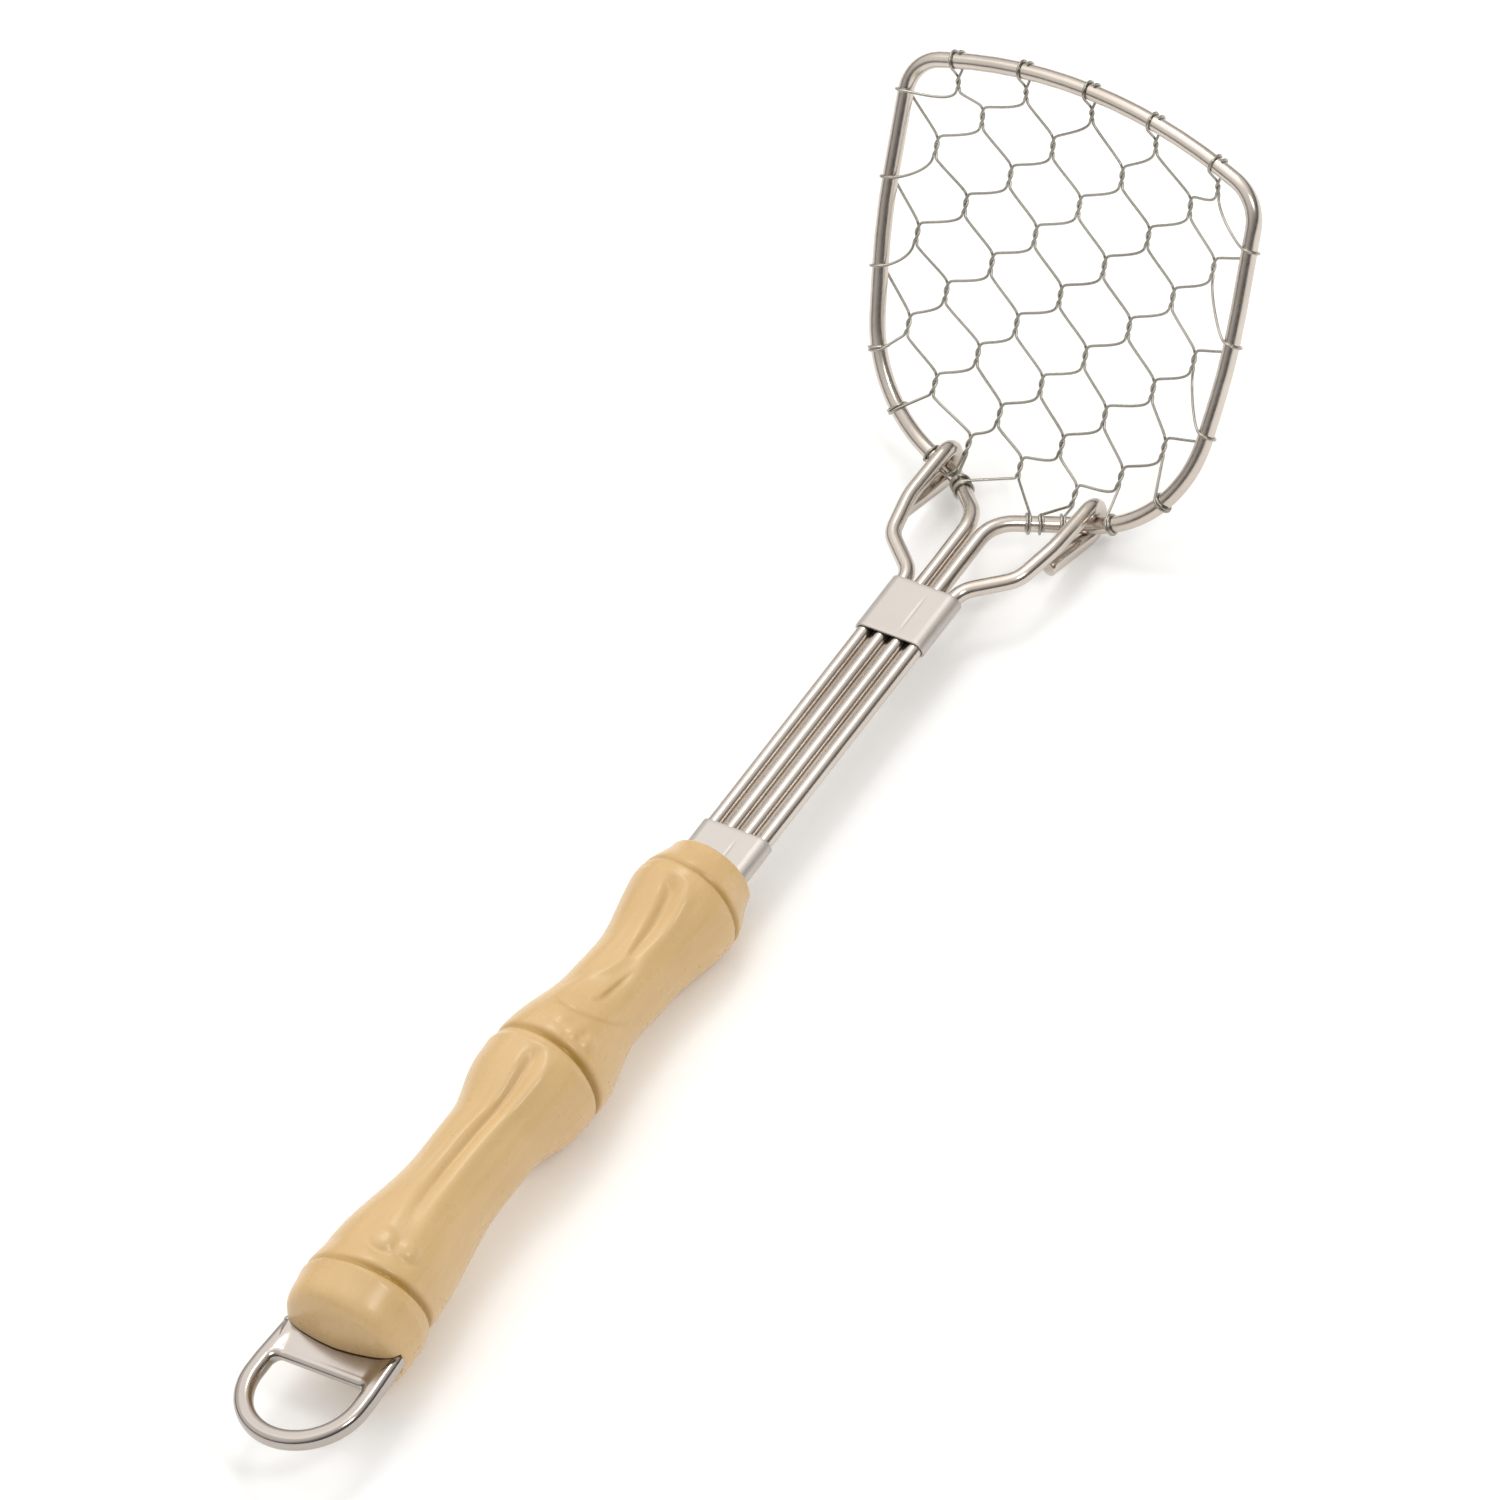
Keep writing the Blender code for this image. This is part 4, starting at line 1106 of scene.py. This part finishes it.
def add_floor():
    """A wide round floor whose far edge sweeps up into a low pale wall."""
    rings = [(FLOOR_REACH * share, 0.0) for share in (0.02, 0.1, 0.3, 0.6, FLOOR_CURVE_START)]
    for turn in np.radians((20.0, 40.0, 60.0, 80.0, 90.0)):
        share = FLOOR_CURVE_START + (1 - FLOOR_CURVE_START) * math.sin(turn)
        rings.append((FLOOR_REACH * share, FLOOR_REACH * FLOOR_CURVE_RISE * (1 - math.cos(turn))))
    rings.append((FLOOR_REACH, WALL_HEIGHT))
    shape = bmesh.new()
    rows = []
    for radius, height in rings:
        angles = [2 * math.pi * k / FLOOR_SIDES for k in range(FLOOR_SIDES)]
        circle = [(radius * math.cos(a), radius * math.sin(a), height + FLOOR_LEVEL) for a in angles]
        rows.append([shape.verts.new(place) for place in circle])
    middle = shape.verts.new((0.0, 0.0, FLOOR_LEVEL))
    for k in range(FLOOR_SIDES):
        following = (k + 1) % FLOOR_SIDES
        shape.faces.new((middle, rows[0][k], rows[0][following]))
        for inner, outer in zip(rows, rows[1:]):
            shape.faces.new((inner[k], outer[k], outer[following], inner[following]))
    mesh = bpy.data.meshes.new("floor")
    shape.to_mesh(mesh)
    shape.free()
    mesh.shade_smooth()
    floor = bpy.data.objects.new("floor", mesh)
    bpy.context.scene.collection.objects.link(floor)
    shader = Shader("floor_paper")
    shader.set("Roughness", 0.9)
    shader.set("Specular IOR Level", 0.1)
    paper = shader.noise(3.0, detail=2.0)
    tones = ((0.3, (0.905, 0.903, 0.90, 1.0)), (0.7, (0.92, 0.92, 0.92, 1.0)))
    shader.feed("Base Color", shader.ramp(paper, tones))
    shader.set("Emission Color", (1.0, 0.995, 0.985, 1.0))
    shader.set("Emission Strength", FLOOR_GLOW)
    shader.material.cycles.emission_sampling = "NONE"
    mesh.materials.append(shader.material)


def light_world():
    """A pale room, brightest overhead and to the tool's left, with a dark band low down."""
    world = bpy.data.worlds.new("studio")
    bpy.context.scene.world = world
    world.use_nodes = True
    nodes, links = world.node_tree.nodes, world.node_tree.links
    place = nodes.new("ShaderNodeTexCoord")
    toward = nodes.new("ShaderNodeVectorMath")
    toward.operation = "DOT_PRODUCT"
    toward.inputs[1].default_value = BRIGHT_SIDE
    links.new(place.outputs["Generated"], toward.inputs[0])
    split = nodes.new("ShaderNodeSeparateXYZ")
    links.new(place.outputs["Generated"], split.inputs["Vector"])
    across = world_ramp(nodes, ROOM_LEVELS)
    links.new(toward.outputs["Value"], across.inputs["Fac"])
    low = world_ramp(nodes, LOW_LEVELS)
    links.new(split.outputs["Z"], low.inputs["Fac"])
    joined = nodes.new("ShaderNodeMix")
    joined.data_type = "RGBA"
    joined.blend_type = "MULTIPLY"
    first, second = (next(s for s in joined.inputs if s.name == n and s.enabled) for n in ("A", "B"))
    next(s for s in joined.inputs if s.name == "Factor" and s.enabled).default_value = 1.0
    links.new(across.outputs["Color"], first)
    links.new(low.outputs["Color"], second)
    background = nodes["Background"]
    background.inputs["Strength"].default_value = WORLD_STRENGTH
    links.new(next(s for s in joined.outputs if s.enabled), background.inputs["Color"])


def world_ramp(nodes, stops):
    node = nodes.new("ShaderNodeValToRGB")
    while len(node.color_ramp.elements) < len(stops):
        node.color_ramp.elements.new(0.5)
    for element, (position, level) in zip(node.color_ramp.elements, stops):
        element.position = position
        element.color = (level, 0.995 * level, 0.985 * level, 1.0)
    return node


def add_softbox(name, place, size, power, colour):
    light = bpy.data.lights.new(name, "AREA")
    light.shape = "RECTANGLE"
    light.size = light.size_y = size
    light.energy = power
    light.color = colour
    made = bpy.data.objects.new(name, light)
    bpy.context.scene.collection.objects.link(made)
    made.location = place
    made.rotation_euler = (-Vector(place)).to_track_quat("-Z", "Y").to_euler()


def add_camera():
    """A very long lens, so that the view is all but parallel."""
    right = unit(np.array(CAMERA_RIGHT))
    up = np.array(CAMERA_UP)
    up = unit(up - right * (up @ right))
    back = np.cross(right, up)
    aim = np.array((0.0, CAMERA_AIM_Y, 0.0)) + CAMERA_SHIFT[0] * right + CAMERA_SHIFT[1] * up
    distance = SEEN_WIDTH * CAMERA_LENS_MM / CAMERA_SENSOR_MM
    data = bpy.data.cameras.new("camera")
    data.lens = CAMERA_LENS_MM
    data.sensor_width = CAMERA_SENSOR_MM
    data.clip_start, data.clip_end = 1.0, 60.0
    camera = bpy.data.objects.new("camera", data)
    bpy.context.scene.collection.objects.link(camera)
    pose = Matrix([[*row, 0.0] for row in np.column_stack((right, up, back))] + [[0.0, 0.0, 0.0, 1.0]])
    pose.translation = Vector(aim + back * distance)
    camera.matrix_world = REST @ pose
    bpy.context.scene.camera = camera


def main():
    bpy.context.scene.view_settings.view_transform = "Standard"
    add_rods()
    add_band("upper_band", UPPER_BAND_Y)
    add_band("lower_band", LOWER_BAND_Y)
    add_grip()
    add_ring()
    add_net()
    add_floor()
    light_world()
    for softbox in SOFTBOXES:
        add_softbox(*softbox)
    add_camera()


main()
